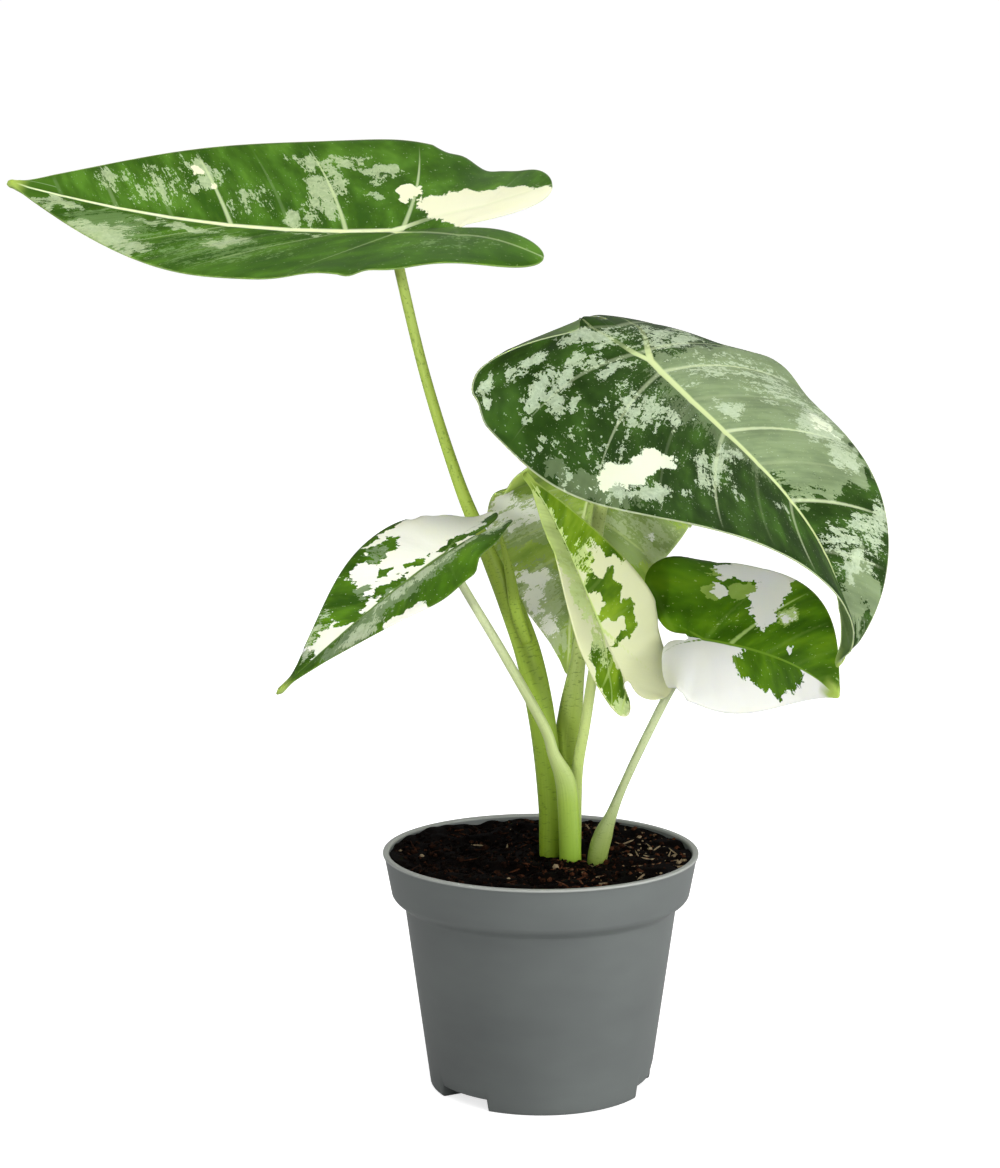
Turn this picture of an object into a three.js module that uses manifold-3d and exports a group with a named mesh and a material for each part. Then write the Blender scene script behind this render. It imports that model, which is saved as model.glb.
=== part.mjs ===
// A young variegated alocasia 'Frydek' in its round nursery pot.
// Millimetres, +Z up. The origin is the middle of the pot's underside and -Y is the front.
// Six leaves, each a petiole with an arrow-shaped blade, grow from a corm buried in the soil.

import * as THREE from 'three';
import { mergeVertices } from 'three/addons/utils/BufferGeometryUtils.js';
import Module from 'manifold-3d';

const wasm = await Module();
wasm.setup();

// ---- Driving dimensions ----

const clearance = 0.3; // kept between pieces that touch
const bladeThickness = 0.6;
const bladeStations = 27; // from the lobe ends through the hub to the tip
const endCrowding = 0.5; // how much closer the stations stand at the tip and lobe ends
const bladeColumns = 5; // across each half, from the midrib to the margin
const sinusNotch = 0.5; // half the width of the gap where the lobes part
const flatTip = 2.4; // a half narrower than this loses its fold towards the tip
const petioleSides = 12;
const petioleRings = 16;
const walkSteps = 24; // of the walk along the midrib

const pot = {
  height: 25.3,
  rimRadius: 16.7,
  bandFootRadius: 15.75,
  bandFootHeight: 20.8,
  bodyTopRadius: 14.4,
  bodyTopHeight: 19.6,
  footRadius: 11.7,
  footRounding: 0.4,
  wall: 0.6,
  floor: 1,
  sides: 72,
};

// Three vents round the foot: the edge is raised and a slot drains the pot behind it.
const vent = {
  first: 105, // degrees anticlockwise from +X to the middle of the first vent
  count: 3,
  span: 34, // degrees
  height: 1.2,
  innerRadius: 8.4,
  slotInner: 9.1,
  slotOuter: 10.3,
  slotSpan: 18, // degrees
};

// The soil lies a little higher against the pot's wall than round the stalks.
const soil = {
  edgeHeight: 24.8,
  middleHeight: 24.4,
  ripple: 0.12,
};

const corm = { x: 3, y: 1, radius: 4.1, bottom: 11.5, top: 17.7, rings: 3 };
const petioleFoot = corm.top + clearance; // where every petiole stands on the corm

// Each leaf is laid out along its midrib. The parameter a runs from -1 at the lobe ends
// through 0 at the hub, where the petiole joins, to 1 at the tip. Angles in degrees are
// given at a = -1, 0, 0.5 and 1. Pairs are the left and the right half.
//   yaw, pitch, roll  heading of the midrib, its rise, and the turn of the blade about it
//   lift, curl        rise of a half beside the midrib, and how far it then bends down
//   shape             two exponents that draw the margin in towards the tip
//   lobeWidth         width of a half at its lobe's end, against its widest
//   joined            part of the lobes' length that is joined behind the hub
//   opening           exponent of the sinus between the lobes, narrow for longer where it is high
//   wave              height of the margin's ripple, number of waves and phase
// The petiole's path starts on the corm, and its widths (from side to side) and depths
// (from front to back) are given at each point of the path and at the hub.
const leaves = {
  tall: {
    hub: [-15.5, 0.5, 90.2],
    length: 42,
    backLength: 16.7,
    halfWidth: [15.4, 15.9],
    shape: [1.8, 1.1],
    lobeWidth: [0.52, 0.5],
    joined: 0.46,
    opening: 1.3,
    yaw: [179, 161, 169, 179],
    pitch: [7, -2, 7, 15],
    roll: [-24, -24, -33, -42],
    lift: [[6, 13, 10, 0], [8, 15, 17, 10]],
    curl: [[8, 7, 6, 11], [10, 13, 7, 6]],
    wave: [0.4, 2.5, 20],
    path: [
      [1.3, 1.2, petioleFoot], [1, 1.3, 24.4], [1, 1.3, 30], [0.3, 1.1, 38], [-1.2, 0.8, 45.7],
      [-3.2, 0.8, 51.5], [-5.6, 1.1, 57], [-8.7, 1.2, 64.6], [-12.2, 0.9, 76],
    ],
    widths: [2, 2.2, 2.5, 2.8, 2.8, 2.5, 1.8, 1.3, 1.1, 1.1],
    depths: [2, 2.1, 2.2, 2.2, 2, 1.8, 1.5, 1.2, 1.1, 1.1],
    sheath: {
      path: [[-1.5, -0.2, 47.5], [-2.6, -0.3, 51], [-3.3, -0.5, 55], [-4.3, -0.6, 59.3]],
      widths: [1.2, 1.3, 1, 0.3],
      depths: [0.7, 0.7, 0.6, 0.3],
    },
    colour: 0x38561f,
  },
  broad: {
    hub: [11.1, -2, 77.1],
    length: 40,
    backLength: 10.2,
    halfWidth: [19, 19.8],
    shape: [2.45, 1.05],
    lobeWidth: [0.5, 0.5],
    joined: 0.5,
    opening: 2,
    yaw: [-4, -49, -34, -27],
    pitch: [8, -33, -43, -108],
    roll: [-7, 5, 5, -8],
    lift: [[4, 8, 16, 29], [-4, -5, 9, 41]],
    curl: [[9, 34, 28, 2], [25, 25, 38, 24]],
    wave: [0.5, 2.5, 100],
    path: [
      [3.2, 2.7, petioleFoot], [3.3, 2.9, 24.4], [3.1, 2.8, 30], [2.8, 2.5, 35.5],
      [3.2, 2.3, 40], [4, 2.2, 45.6], [5.1, 1.7, 53], [6.1, 0.7, 61], [7.9, -0.5, 69],
    ],
    widths: [1.8, 1.9, 2.1, 2.7, 2.5, 1.6, 1.4, 1.4, 1.2, 1.1],
    depths: [1.6, 1.6, 1.6, 1.5, 1.5, 1.4, 1.3, 1.3, 1.2, 1.1],
    colour: 0x3c5c33,
  },
  left: {
    hub: [-9.9, -8.2, 58],
    length: 22.2,
    backLength: 7.3,
    halfWidth: [7.2, 8.3],
    shape: [1.55, 1.15],
    lobeWidth: [0.4, 0.4],
    joined: 0.5,
    opening: 1.3,
    yaw: [194, 200, 197, 176],
    pitch: [-24, -31, -38, -43],
    roll: [0, -9, -14, -7],
    lift: [[11, 8, 6, 6], [9, 20, 23, 14]],
    curl: [[13, 16, 16, 13], [7, 8, 2, 4]],
    wave: [0.3, 2.5, 200],
    path: [
      [3, -1.5, petioleFoot], [3.1, -2, 24.4], [2.9, -2, 30], [2.5, -2.1, 33.3],
      [1.3, -2.5, 36.2], [0.2, -3, 39.4], [-4, -4.8, 47.3], [-7.5, -6.4, 53.5],
    ],
    widths: [2.2, 2.3, 2.3, 2.1, 1.3, 1.1, 1, 0.9, 0.9],
    depths: [2, 2, 1.9, 1.6, 1.2, 1.1, 1, 0.9, 0.9],
    colour: 0x9aa886,
  },
  young: {
    hub: [6, -6.2, 50.1],
    length: 17.9,
    backLength: 9.3,
    halfWidth: [4.6, 6.7],
    shape: [1.4, 1.25],
    lobeWidth: [0.4, 0.5],
    joined: 0.66,
    opening: 3,
    yaw: [178, 182, 179, 175],
    pitch: [70, 67, 66, 52],
    roll: [-72, -79, -85, -86],
    lift: [[40, 53, 60, 61], [-1, -3, 6, 4]],
    curl: [[18, 22, 21, 18], [12, 14, 9, 7]],
    wave: [0.2, 2, 0],
    path: [
      [3.5, 0.7, petioleFoot], [3.6, 0.6, 24.4], [3.7, 0.4, 30.6], [3.9, -0.2, 34.5],
      [4.6, -1.4, 39], [5.1, -2.6, 43], [5.6, -3.9, 47],
    ],
    widths: [1.4, 1.4, 1.3, 1.2, 1.1, 1.1, 1, 0.9],
    depths: [1.4, 1.4, 1.3, 1.2, 1.1, 1.1, 1, 0.9],
    colour: 0x9aab5e,
  },
  rear: {
    hub: [5.9, 8.9, 63.8],
    length: 25.3,
    backLength: 6.8,
    halfWidth: [12.2, 11.6],
    shape: [1.75, 1.05],
    lobeWidth: [0.56, 0.58],
    joined: 0.3,
    opening: 1.3,
    yaw: [95, 111, 105, 92],
    pitch: [-39, -47, -71, -71],
    roll: [8, 9, 13, 30],
    lift: [[-9, -6, 4, 19], [-15, -11, -2, 0]],
    curl: [[23, 22, 20, 20], [25, 25, 21, 20]],
    wave: [0.3, 2.5, 60],
    path: [
      [1.9, 4.4, petioleFoot], [2.1, 4.6, 24.4], [2.8, 4.8, 30.6], [3.4, 5.2, 37],
      [3.8, 5.7, 43.5], [4.1, 6.3, 50], [4.7, 7, 57],
    ],
    widths: [1.4, 1.4, 1.4, 1.3, 1.2, 1, 0.9, 0.8],
    depths: [1.4, 1.4, 1.4, 1.3, 1.2, 1, 0.9, 0.8],
    colour: 0x7d9163,
  },
  small: {
    hub: [16.7, -3.9, 48.5],
    length: 15.7,
    backLength: 4.9,
    halfWidth: [11.4, 8],
    shape: [2, 1],
    lobeWidth: [0.55, 0.58],
    joined: 0.3,
    opening: 3.2,
    yaw: [4, -13, -23, -36],
    pitch: [8, -7, -16, -41],
    roll: [55, 47, 64, 91],
    lift: [[0, -3, -3, 14], [6, 10, -1, -3]],
    curl: [[14, 14, 21, 13], [13, 12, 14, 16]],
    wave: [0.2, 2, 0],
    path: [
      [5.4, -1.2, petioleFoot], [5.9, -1.7, 24.4], [6.5, -1.8, 27.2], [7.4, -2, 29.6],
      [8.5, -2.3, 32.5], [10.5, -2.7, 37.1], [13.4, -3, 43.1], [15.3, -3, 46],
    ],
    widths: [2, 2.1, 2, 1.2, 0.9, 0.9, 0.9, 0.9, 0.8],
    depths: [1.7, 1.8, 1.6, 1.1, 0.9, 0.9, 0.9, 0.9, 0.8],
    colour: 0x6f8a4a,
  },
};

// ---- Solids ----

const radians = THREE.MathUtils.degToRad;
const vector = (x, y, z) => new THREE.Vector3(x, y, z);

// Reduces a geometry to welded positions, without the slivers that welding flattens.
function weld(geometry) {
  const bare = geometry.clone();
  bare.deleteAttribute('normal');
  bare.deleteAttribute('uv');
  const merged = mergeVertices(bare, 1e-4);
  const corners = merged.index.array;
  const kept = [];
  for (let i = 0; i < corners.length; i += 3) {
    const [p, q, r] = corners.slice(i, i + 3);
    if (p !== q && q !== r && r !== p) kept.push(p, q, r);
  }
  merged.setIndex(kept);
  return merged;
}

function toSolid(geometry) {
  const welded = weld(geometry);
  return new wasm.Manifold(new wasm.Mesh({
    numProp: 3,
    vertProperties: Float32Array.from(welded.attributes.position.array),
    triVerts: Uint32Array.from(welded.index.array),
  }));
}

function toGeometry(solid) {
  const mesh = solid.getMesh();
  const geometry = new THREE.BufferGeometry();
  geometry.setAttribute('position', new THREE.BufferAttribute(mesh.vertProperties, 3));
  geometry.setIndex(new THREE.BufferAttribute(mesh.triVerts, 1));
  return geometry;
}

// Turns a profile of [radius, height] pairs about the Z axis.
function turned(profile, sides) {
  const points = profile.map(([radius, height]) => new THREE.Vector2(radius, height));
  return new THREE.LatheGeometry(points, sides).rotateX(Math.PI / 2);
}

// A block between two radii and two heights that spans an angle about the Z axis.
function sector(innerRadius, outerRadius, bottom, top, middle, span) {
  const shape = new THREE.Shape();
  const start = radians(middle - span / 2);
  const end = radians(middle + span / 2);
  shape.absarc(0, 0, outerRadius, start, end, false);
  shape.absarc(0, 0, innerRadius, end, start, true);
  shape.closePath();
  const options = { depth: top - bottom, bevelEnabled: false, curveSegments: 8 };
  return new THREE.ExtrudeGeometry(shape, options).translate(0, 0, bottom);
}

// ---- Curves shared by the leaves ----

// Smooth value through equally spaced knots at u from 0 to 1 (Catmull-Rom).
function through(knots, u) {
  const last = knots.length - 1;
  const place = THREE.MathUtils.clamp(u, 0, 1) * last;
  const i = Math.min(Math.floor(place), last - 1);
  const t = place - i;
  const [p1, p2] = [knots[i], knots[i + 1]];
  const p0 = i > 0 ? knots[i - 1] : 2 * p1 - p2;
  const p3 = i < last - 1 ? knots[i + 2] : 2 * p2 - p1;
  return 0.5 * (2 * p1 + (p2 - p0) * t + (2 * p0 - 5 * p1 + 4 * p2 - p3) * t * t
    + (3 * p1 - p0 - 3 * p2 + p3) * t * t * t);
}

// The cubic through four values given at a = -1, 0, 0.5 and 1.
function alongLeaf(values, a) {
  const places = [-1, 0, 0.5, 1];
  return values.reduce((sum, value, i) => {
    const weight = places.reduce((product, place, j) => (
      i === j ? product : product * (a - place) / (places[i] - place)), 1);
    return sum + value * weight;
  }, 0);
}

// Unit vectors along the midrib, to its left and out of the blade's upper face.
function bladeFrame(leaf, a) {
  const yaw = radians(alongLeaf(leaf.yaw, a));
  const pitch = radians(alongLeaf(leaf.pitch, a));
  const roll = radians(alongLeaf(leaf.roll, a));
  const ahead = vector(Math.cos(pitch) * Math.cos(yaw), Math.cos(pitch) * Math.sin(yaw),
    Math.sin(pitch));
  const left = vector(-Math.sin(yaw), Math.cos(yaw), 0).applyAxisAngle(ahead, roll);
  return { ahead, left, up: ahead.clone().cross(left) };
}

// The midrib is walked in short straight steps from the hub to the station a.
function midribPoint(leaf, a) {
  const step = (a < 0 ? leaf.backLength : leaf.length) * a / walkSteps;
  const point = vector(...leaf.hub);
  for (let i = 0; i < walkSteps; i += 1) {
    point.addScaledVector(bladeFrame(leaf, a * (i + 0.5) / walkSteps).ahead, step);
  }
  return point;
}

// Distances from the midrib to the sinus between the lobes and to the margin.
function bladeEdges(leaf, a, side) {
  const width = leaf.halfWidth[side];
  const end = leaf.lobeWidth[side];
  if (a >= 0) return [0, width * (1 - a ** leaf.shape[0]) ** leaf.shape[1]];
  const back = Math.min(-a, 1);
  const outer = width * (end + (1 - end) * Math.sqrt(1 - back ** 2.6));
  if (back <= leaf.joined) return [0, outer];
  const open = (back - leaf.joined) / (1 - leaf.joined);
  const part = 1 - Math.sqrt(1 - open ** leaf.opening);
  return [THREE.MathUtils.lerp(sinusNotch, end * width, part), outer];
}

// A point of the blade's middle surface, v of the way from the sinus to the margin.
// Each half leaves the midrib at its lift and bends on a circular arc by its curl.
function bladePoint(leaf, a, v, side) {
  const { left, up } = bladeFrame(leaf, a);
  const width = leaf.halfWidth[side];
  const [inner, outer] = bladeEdges(leaf, a, side);
  const reach = inner + (outer - inner) * v;
  const fold = a > 0 ? Math.min(outer / flatTip, 1) : 1;
  const lift = radians(alongLeaf(leaf.lift[side], a) * fold);
  const bend = radians(Math.max(alongLeaf(leaf.curl[side], a), 0.1));
  const end = lift - bend * reach / width;
  const out = width / bend * (Math.sin(lift) - Math.sin(end));
  const [height, waves, phase] = leaf.wave;
  const ripple = height * (reach / width) ** 2
    * Math.sin(Math.PI * waves * a + radians(phase + 75 * side));
  const rise = width / bend * (Math.cos(end) - Math.cos(lift)) + ripple;
  return midribPoint(leaf, a)
    .addScaledVector(left, side === 0 ? out : -out)
    .addScaledVector(up, rise);
}

// ---- Blades ----

// Thickens an open surface evenly to both sides, with the same triangles on both faces.
function thickened(surface, thickness) {
  const sheet = weld(surface);
  sheet.computeVertexNormals();
  const { position, normal } = sheet.attributes;
  const corners = [...sheet.index.array];
  const count = position.count;
  const points = [];
  for (const direction of [1, -1]) {
    for (let i = 0; i < count; i += 1) {
      const point = vector().fromBufferAttribute(position, i);
      const out = vector().fromBufferAttribute(normal, i);
      points.push(...point.addScaledVector(out, direction * thickness / 2).toArray());
    }
  }
  const triangles = [];
  const edges = new Map();
  for (let i = 0; i < corners.length; i += 3) {
    const [p, q, r] = corners.slice(i, i + 3);
    triangles.push(p, q, r, r + count, q + count, p + count);
    for (const [from, to] of [[p, q], [q, r], [r, p]]) {
      if (!edges.delete(`${to}_${from}`)) edges.set(`${from}_${to}`, [from, to]);
    }
  }
  for (const [from, to] of edges.values()) {
    triangles.push(from, from + count, to + count, from, to + count, to);
  }
  const solid = new THREE.BufferGeometry();
  solid.setAttribute('position', new THREE.Float32BufferAttribute(points, 3));
  solid.setIndex(triangles);
  return solid;
}

function bladeSolid(leaf) {
  const points = [];
  const triangles = [];
  for (const side of [0, 1]) {
    const first = points.length / 3;
    for (let i = 0; i < bladeStations; i += 1) {
      const even = 2 * i / (bladeStations - 1) - 1;
      const a = THREE.MathUtils.lerp(even, Math.sin(even * Math.PI / 2), endCrowding);
      for (let j = 0; j < bladeColumns; j += 1) {
        points.push(...bladePoint(leaf, a, j / (bladeColumns - 1), side).toArray());
      }
    }
    for (let i = 0; i < bladeStations - 1; i += 1) {
      for (let j = 0; j < bladeColumns - 1; j += 1) {
        const here = first + i * bladeColumns + j;
        const next = here + bladeColumns;
        const quad = [here, next, next + 1, here, next + 1, here + 1];
        triangles.push(...(side === 0 ? quad : quad.reverse()));
      }
    }
  }
  const surface = new THREE.BufferGeometry();
  surface.setAttribute('position', new THREE.Float32BufferAttribute(points, 3));
  surface.setIndex(triangles);
  return thickened(surface, bladeThickness);
}

// ---- Petioles ----

// A round bar bent along a path, with its own width and depth along the way.
function bar(path, widths, depths, rings, grow = 0) {
  const geometry = new THREE.CylinderGeometry(1, 1, 1, petioleSides, rings);
  const point = (u) => vector(...[0, 1, 2].map((k) => through(path.map((p) => p[k]), u)));
  const { position } = geometry.attributes;
  for (let i = 0; i < position.count; i += 1) {
    const u = position.getY(i) + 0.5;
    const ahead = point(u + 0.01).sub(point(u - 0.01)).normalize();
    const back = vector(0, 1, 0).addScaledVector(ahead, -ahead.y).normalize();
    const across = back.clone().cross(ahead);
    const place = point(u)
      .addScaledVector(across, position.getX(i) * (through(widths, u) / 2 + grow))
      .addScaledVector(back, -position.getZ(i) * (through(depths, u) / 2 + grow));
    position.setXYZ(i, place.x, place.y, place.z);
  }
  return geometry;
}

// The petiole ends just under the blade's hub.
function petioleSolid(leaf) {
  const seat = vector(...leaf.hub)
    .addScaledVector(bladeFrame(leaf, 0).up, -(bladeThickness / 2 + 2 * clearance));
  const path = [...leaf.path, seat.toArray()];
  const stem = toSolid(bar(path, leaf.widths, leaf.depths, petioleRings));
  if (!leaf.sheath) return toGeometry(stem);
  const { path: sheathPath, widths, depths } = leaf.sheath;
  return toGeometry(stem.add(toSolid(bar(sheathPath, widths, depths, 6))));
}

// The hole that a petiole's foot stands in.
function petioleHole(leaf) {
  const [foot, surface] = leaf.path;
  const lean = vector(...surface).sub(vector(...foot));
  const path = [vector(...foot).addScaledVector(lean, -0.15), vector(...surface),
    vector(...surface).addScaledVector(lean, 0.4)].map((p) => p.toArray());
  const [w0, w1] = leaf.widths;
  const [d0, d1] = leaf.depths;
  return toSolid(bar(path, [w0, w1, w1], [d0, d1, d1], 2, clearance));
}

// ---- Corm, soil and pot ----

// A short barrel with the ring-shaped scars of earlier leaves.
function cormSolid(grow = 0) {
  const { radius, bottom, top, rings } = corm;
  const profile = [[0, bottom - grow], [radius * 0.45 + grow, bottom - grow]];
  const tall = (top - bottom) / (rings + 1);
  for (let i = 1; i <= rings; i += 1) {
    const height = bottom + tall * i;
    const wide = radius * (0.72 + 0.28 * i / rings) + grow;
    profile.push([wide, height - tall * 0.25], [wide - 0.25, height + tall * 0.15]);
  }
  profile.push([radius + grow, top + grow], [0, top + grow]);
  return turned(profile, 24).translate(corm.x, corm.y, 0);
}

// Radius of the pot's inner wall at a height.
function innerRadius(height) {
  const rise = THREE.MathUtils.clamp(height / pot.bodyTopHeight, 0, 1);
  return THREE.MathUtils.lerp(pot.footRadius, pot.bodyTopRadius, rise) - pot.wall;
}

function potSolid() {
  const { wall, height, rimRadius, bandFootRadius, bandFootHeight, bodyTopRadius } = pot;
  const { bodyTopHeight, footRadius, footRounding } = pot;
  const profile = [
    [0, 0],
    [footRadius - footRounding, 0],
    [footRadius, footRounding],
    [bodyTopRadius, bodyTopHeight],
    [bandFootRadius - 0.2, bandFootHeight - 0.3],
    [bandFootRadius, bandFootHeight],
    [rimRadius - 0.15, height - 0.5],
    [rimRadius, height - 0.25],
    [rimRadius - 0.1, height],
    [rimRadius - wall, height],
    [bandFootRadius - wall, bandFootHeight + wall],
    [bodyTopRadius - wall, bodyTopHeight + wall],
    [innerRadius(pot.floor), pot.floor],
    [0, pot.floor],
  ];
  let solid = toSolid(turned(profile, pot.sides));
  const { span, innerRadius: hollow, slotInner, slotOuter, slotSpan } = vent;
  for (let i = 0; i < vent.count; i += 1) {
    const middle = vent.first + 360 * i / vent.count;
    const step = pot.floor + vent.height;
    const roof = sector(hollow - wall, footRadius - 0.25, 0.2, step, middle, span + 6);
    const recess = sector(hollow, footRadius + 1, -1, vent.height, middle, span);
    const slot = sector(slotInner, slotOuter, 0, step + 1, middle, slotSpan);
    solid = solid.add(toSolid(roof)).subtract(toSolid(recess)).subtract(toSolid(slot));
  }
  return toGeometry(solid);
}

function soilSolid() {
  const gap = clearance;
  const { bandFootRadius, bandFootHeight, rimRadius, height, wall } = pot;
  const ledge = pot.bodyTopHeight + wall;
  const band = (soil.edgeHeight - bandFootHeight) / (height - bandFootHeight);
  const brim = THREE.MathUtils.lerp(bandFootRadius, rimRadius, band) - wall - gap;
  const geometry = turned([
    [0, pot.floor + gap],
    [innerRadius(pot.floor) - gap, pot.floor + gap],
    [pot.bodyTopRadius - wall - gap, ledge + gap / 2],
    [bandFootRadius - wall - gap, bandFootHeight + wall + gap / 2],
    [brim, soil.edgeHeight],
    [brim * 0.8, THREE.MathUtils.lerp(soil.edgeHeight, soil.middleHeight, 0.5)],
    [brim * 0.4, soil.middleHeight],
    [0, soil.middleHeight],
  ], 40);
  const { position } = geometry.attributes;
  for (let i = 0; i < position.count; i += 1) {
    const [x, y, z] = vector().fromBufferAttribute(position, i).toArray();
    const distance = Math.hypot(x, y);
    const inside = z > pot.bandFootHeight + wall + gap && distance > 0.1 && distance < brim - 0.1;
    const ripple = inside ? soil.ripple * Math.sin(1.7 * x + 0.8 * y) : 0;
    position.setZ(i, z + ripple);
  }
  let solid = toSolid(geometry).subtract(toSolid(cormSolid(clearance)));
  for (const leaf of Object.values(leaves)) solid = solid.subtract(petioleHole(leaf));
  for (let i = 0; i < vent.count; i += 1) {
    const middle = vent.first + 360 * i / vent.count;
    const top = pot.floor + vent.height + clearance;
    const inner = vent.innerRadius - pot.wall - clearance;
    const block = sector(inner, pot.footRadius + 1, 0, top, middle, vent.span + 10);
    solid = solid.subtract(toSolid(block));
  }
  return toGeometry(solid);
}

// ---- Assembly ----

const plant = new THREE.Group();

function place(name, geometry, color, roughness) {
  const material = new THREE.MeshStandardMaterial({ color, roughness, metalness: 0 });
  const mesh = new THREE.Mesh(geometry, material);
  mesh.name = name;
  plant.add(mesh);
}

place('pot', potSolid(), 0x6b7271, 0.5);
place('soil', soilSolid(), 0x2a1d15, 1);
place('corm', cormSolid(), 0x5e4a33, 0.8);
for (const [name, leaf] of Object.entries(leaves)) {
  place(`petiole_${name}`, petioleSolid(leaf), 0x9ab04a, 0.45);
  place(`blade_${name}`, bladeSolid(leaf), leaf.colour, 0.5);
}

export default plant;
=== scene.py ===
import math

import bpy
import numpy as np
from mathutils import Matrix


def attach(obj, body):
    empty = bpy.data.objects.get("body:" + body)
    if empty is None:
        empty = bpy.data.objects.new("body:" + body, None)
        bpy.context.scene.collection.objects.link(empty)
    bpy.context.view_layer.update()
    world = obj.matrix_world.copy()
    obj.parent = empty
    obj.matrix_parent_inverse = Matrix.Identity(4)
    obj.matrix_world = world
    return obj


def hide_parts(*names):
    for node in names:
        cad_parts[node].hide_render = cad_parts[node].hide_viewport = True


# A potted variegated alocasia 'Frydek'. Sizes in the dictionaries are millimetres, colours are sRGB hex.
mm = 0.001
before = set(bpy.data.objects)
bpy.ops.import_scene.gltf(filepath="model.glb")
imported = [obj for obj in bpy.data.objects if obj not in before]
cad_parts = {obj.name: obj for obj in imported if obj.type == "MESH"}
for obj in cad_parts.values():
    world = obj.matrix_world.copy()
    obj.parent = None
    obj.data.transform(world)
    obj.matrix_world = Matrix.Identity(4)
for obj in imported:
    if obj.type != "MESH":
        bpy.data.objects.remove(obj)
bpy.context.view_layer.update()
scene = bpy.context.scene
print("frame loaded:", len(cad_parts), "nodes")


# Helpers shared by every piece

# sRGB hex to linear RGBA: c/12.92 below 0.04045, else ((c + 0.055) / 1.055) to the power 2.4.
def linear(hexColour):
    channels = [int(hexColour[i:i + 2], 16) / 255 for i in (1, 3, 5)]
    return (*[c / 12.92 if c <= 0.04045 else ((c + 0.055) / 1.055) ** 2.4 for c in channels], 1)


# Adds a shader node. inputs maps a socket's name or number to a value, to the socket that feeds it, or
# to a node whose output in use feeds it. stops are a ramp's (position, colour) pairs from low to high.
def addNode(tree, kind, inputs=None, stops=(), **settings):
    node = tree.nodes.new("ShaderNode" + kind)
    for name, value in settings.items():
        setattr(node, name, value)
    for position, _ in stops[1:-1]:
        node.color_ramp.elements.new(position)
    for k, (position, colour) in enumerate(stops):
        node.color_ramp.elements[k].position = position
        node.color_ramp.elements[k].color = linear(colour)
    for socket, value in (inputs or {}).items():
        if isinstance(value, bpy.types.Node):
            value = next(output for output in value.outputs if output.enabled)
        if isinstance(value, bpy.types.NodeSocket):
            tree.links.new(value, node.inputs[socket])
        else:
            node.inputs[socket].default_value = value
    return node


def newMaterial(name):
    material = bpy.data.materials.new(name)
    material.use_nodes = True
    material.node_tree.nodes.clear()
    return material, material.node_tree


# The shader's uniform values are set on its own sockets; colour, roughness and bump are linked.
def finishMaterial(tree, colour, roughness, bump, **uniform):
    shader = addNode(tree, "BsdfPrincipled", {
        "Base Color": colour, "Roughness": roughness, "Normal": bump, **uniform})
    addNode(tree, "OutputMaterial", {"Surface": shader})


# Makes a mesh object from points in mm, faces and named values for each vertex.
def makePiece(name, points, faces, material, marks=None):
    mesh = bpy.data.meshes.new(name)
    mesh.from_pydata((np.asarray(points) * mm).tolist(), [], faces)
    for mark, values in (marks or {}).items():
        values = np.asarray(values, np.float32)
        kind, field = ("FLOAT", "value") if values.ndim == 1 else ("FLOAT_VECTOR", "vector")
        mesh.attributes.new(mark, kind, "POINT").data.foreach_set(field, values.ravel())
    mesh.polygons.foreach_set("use_smooth", np.ones(len(mesh.polygons), bool))
    mesh.materials.append(material)
    mesh.validate()
    mesh.update()
    piece = bpy.data.objects.new(name, mesh)
    scene.collection.objects.link(piece)
    return piece


def standsFor(piece, node):
    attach(piece, "root")
    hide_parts(node)


# Smooth curve through equally spaced rows of values, at u from 0 to 1 (Catmull-Rom).
def through(rows, u):
    rows = np.asarray(rows, float)
    rows = rows[:, None] if rows.ndim == 1 else rows
    padded = np.vstack([2 * rows[0] - rows[1], rows, 2 * rows[-1] - rows[-2]])
    spans = len(rows) - 1
    place = np.clip(u, 0, 1) * spans
    i = np.minimum(place.astype(int), spans - 1)
    t = (place - i)[:, None]
    p0, p1, p2, p3 = (padded[i + k] for k in range(4))
    return 0.5 * (2 * p1 + (p2 - p0) * t + (2 * p0 - 5 * p1 + 4 * p2 - p3) * t ** 2
                  + (3 * p1 - p0 - 3 * p2 + p3) * t ** 3)


def unit(vectors):
    return vectors / np.maximum(np.linalg.norm(vectors, axis=-1, keepdims=True), 1e-9)


# Angles of the given number of points round a circle, in radians.
def roundTurn(count):
    return np.arange(count) * 2 * math.pi / count


# Quads of a grid of rows and columns whose vertices are numbered row by row, with the columns closed
# into a ring where wrap is set.
def gridQuads(rows, columns, wrap=False):
    i = np.arange(rows - 1)[:, None]
    j = np.arange(columns if wrap else columns - 1)[None, :]
    after = (j + 1) % columns
    quads = np.stack([i * columns + j, i * columns + after,
                      (i + 1) * columns + after, (i + 1) * columns + j], -1)
    return quads.reshape(-1, 4)


# The quads of a turned grid with a flat cap on its first and its last ring.
def turnedFaces(rows, around):
    first, last = list(range(around))[::-1], list(range((rows - 1) * around, rows * around))
    return gridQuads(rows, around, wrap=True).tolist() + [first, last]


# Camera, floor and light

# A long lens a little above the leaves' middle looks slightly down at the plant.
camera = {"place": (-4.3, -288.9, 97.6), "tilt": 81.37, "lens": 86.3, "sensor": 36}
cameraData = bpy.data.cameras.new("camera")
cameraData.sensor_fit = "VERTICAL"
cameraData.sensor_height = camera["sensor"]
cameraData.lens = camera["lens"]
cameraData.clip_start = 0.01
cameraData.dof.use_dof = False
cameraObject = bpy.data.objects.new("camera", cameraData)
cameraObject.location = [c * mm for c in camera["place"]]
cameraObject.rotation_euler = (math.radians(camera["tilt"]), 0, 0)
scene.collection.objects.link(cameraObject)
scene.camera = cameraObject

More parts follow.
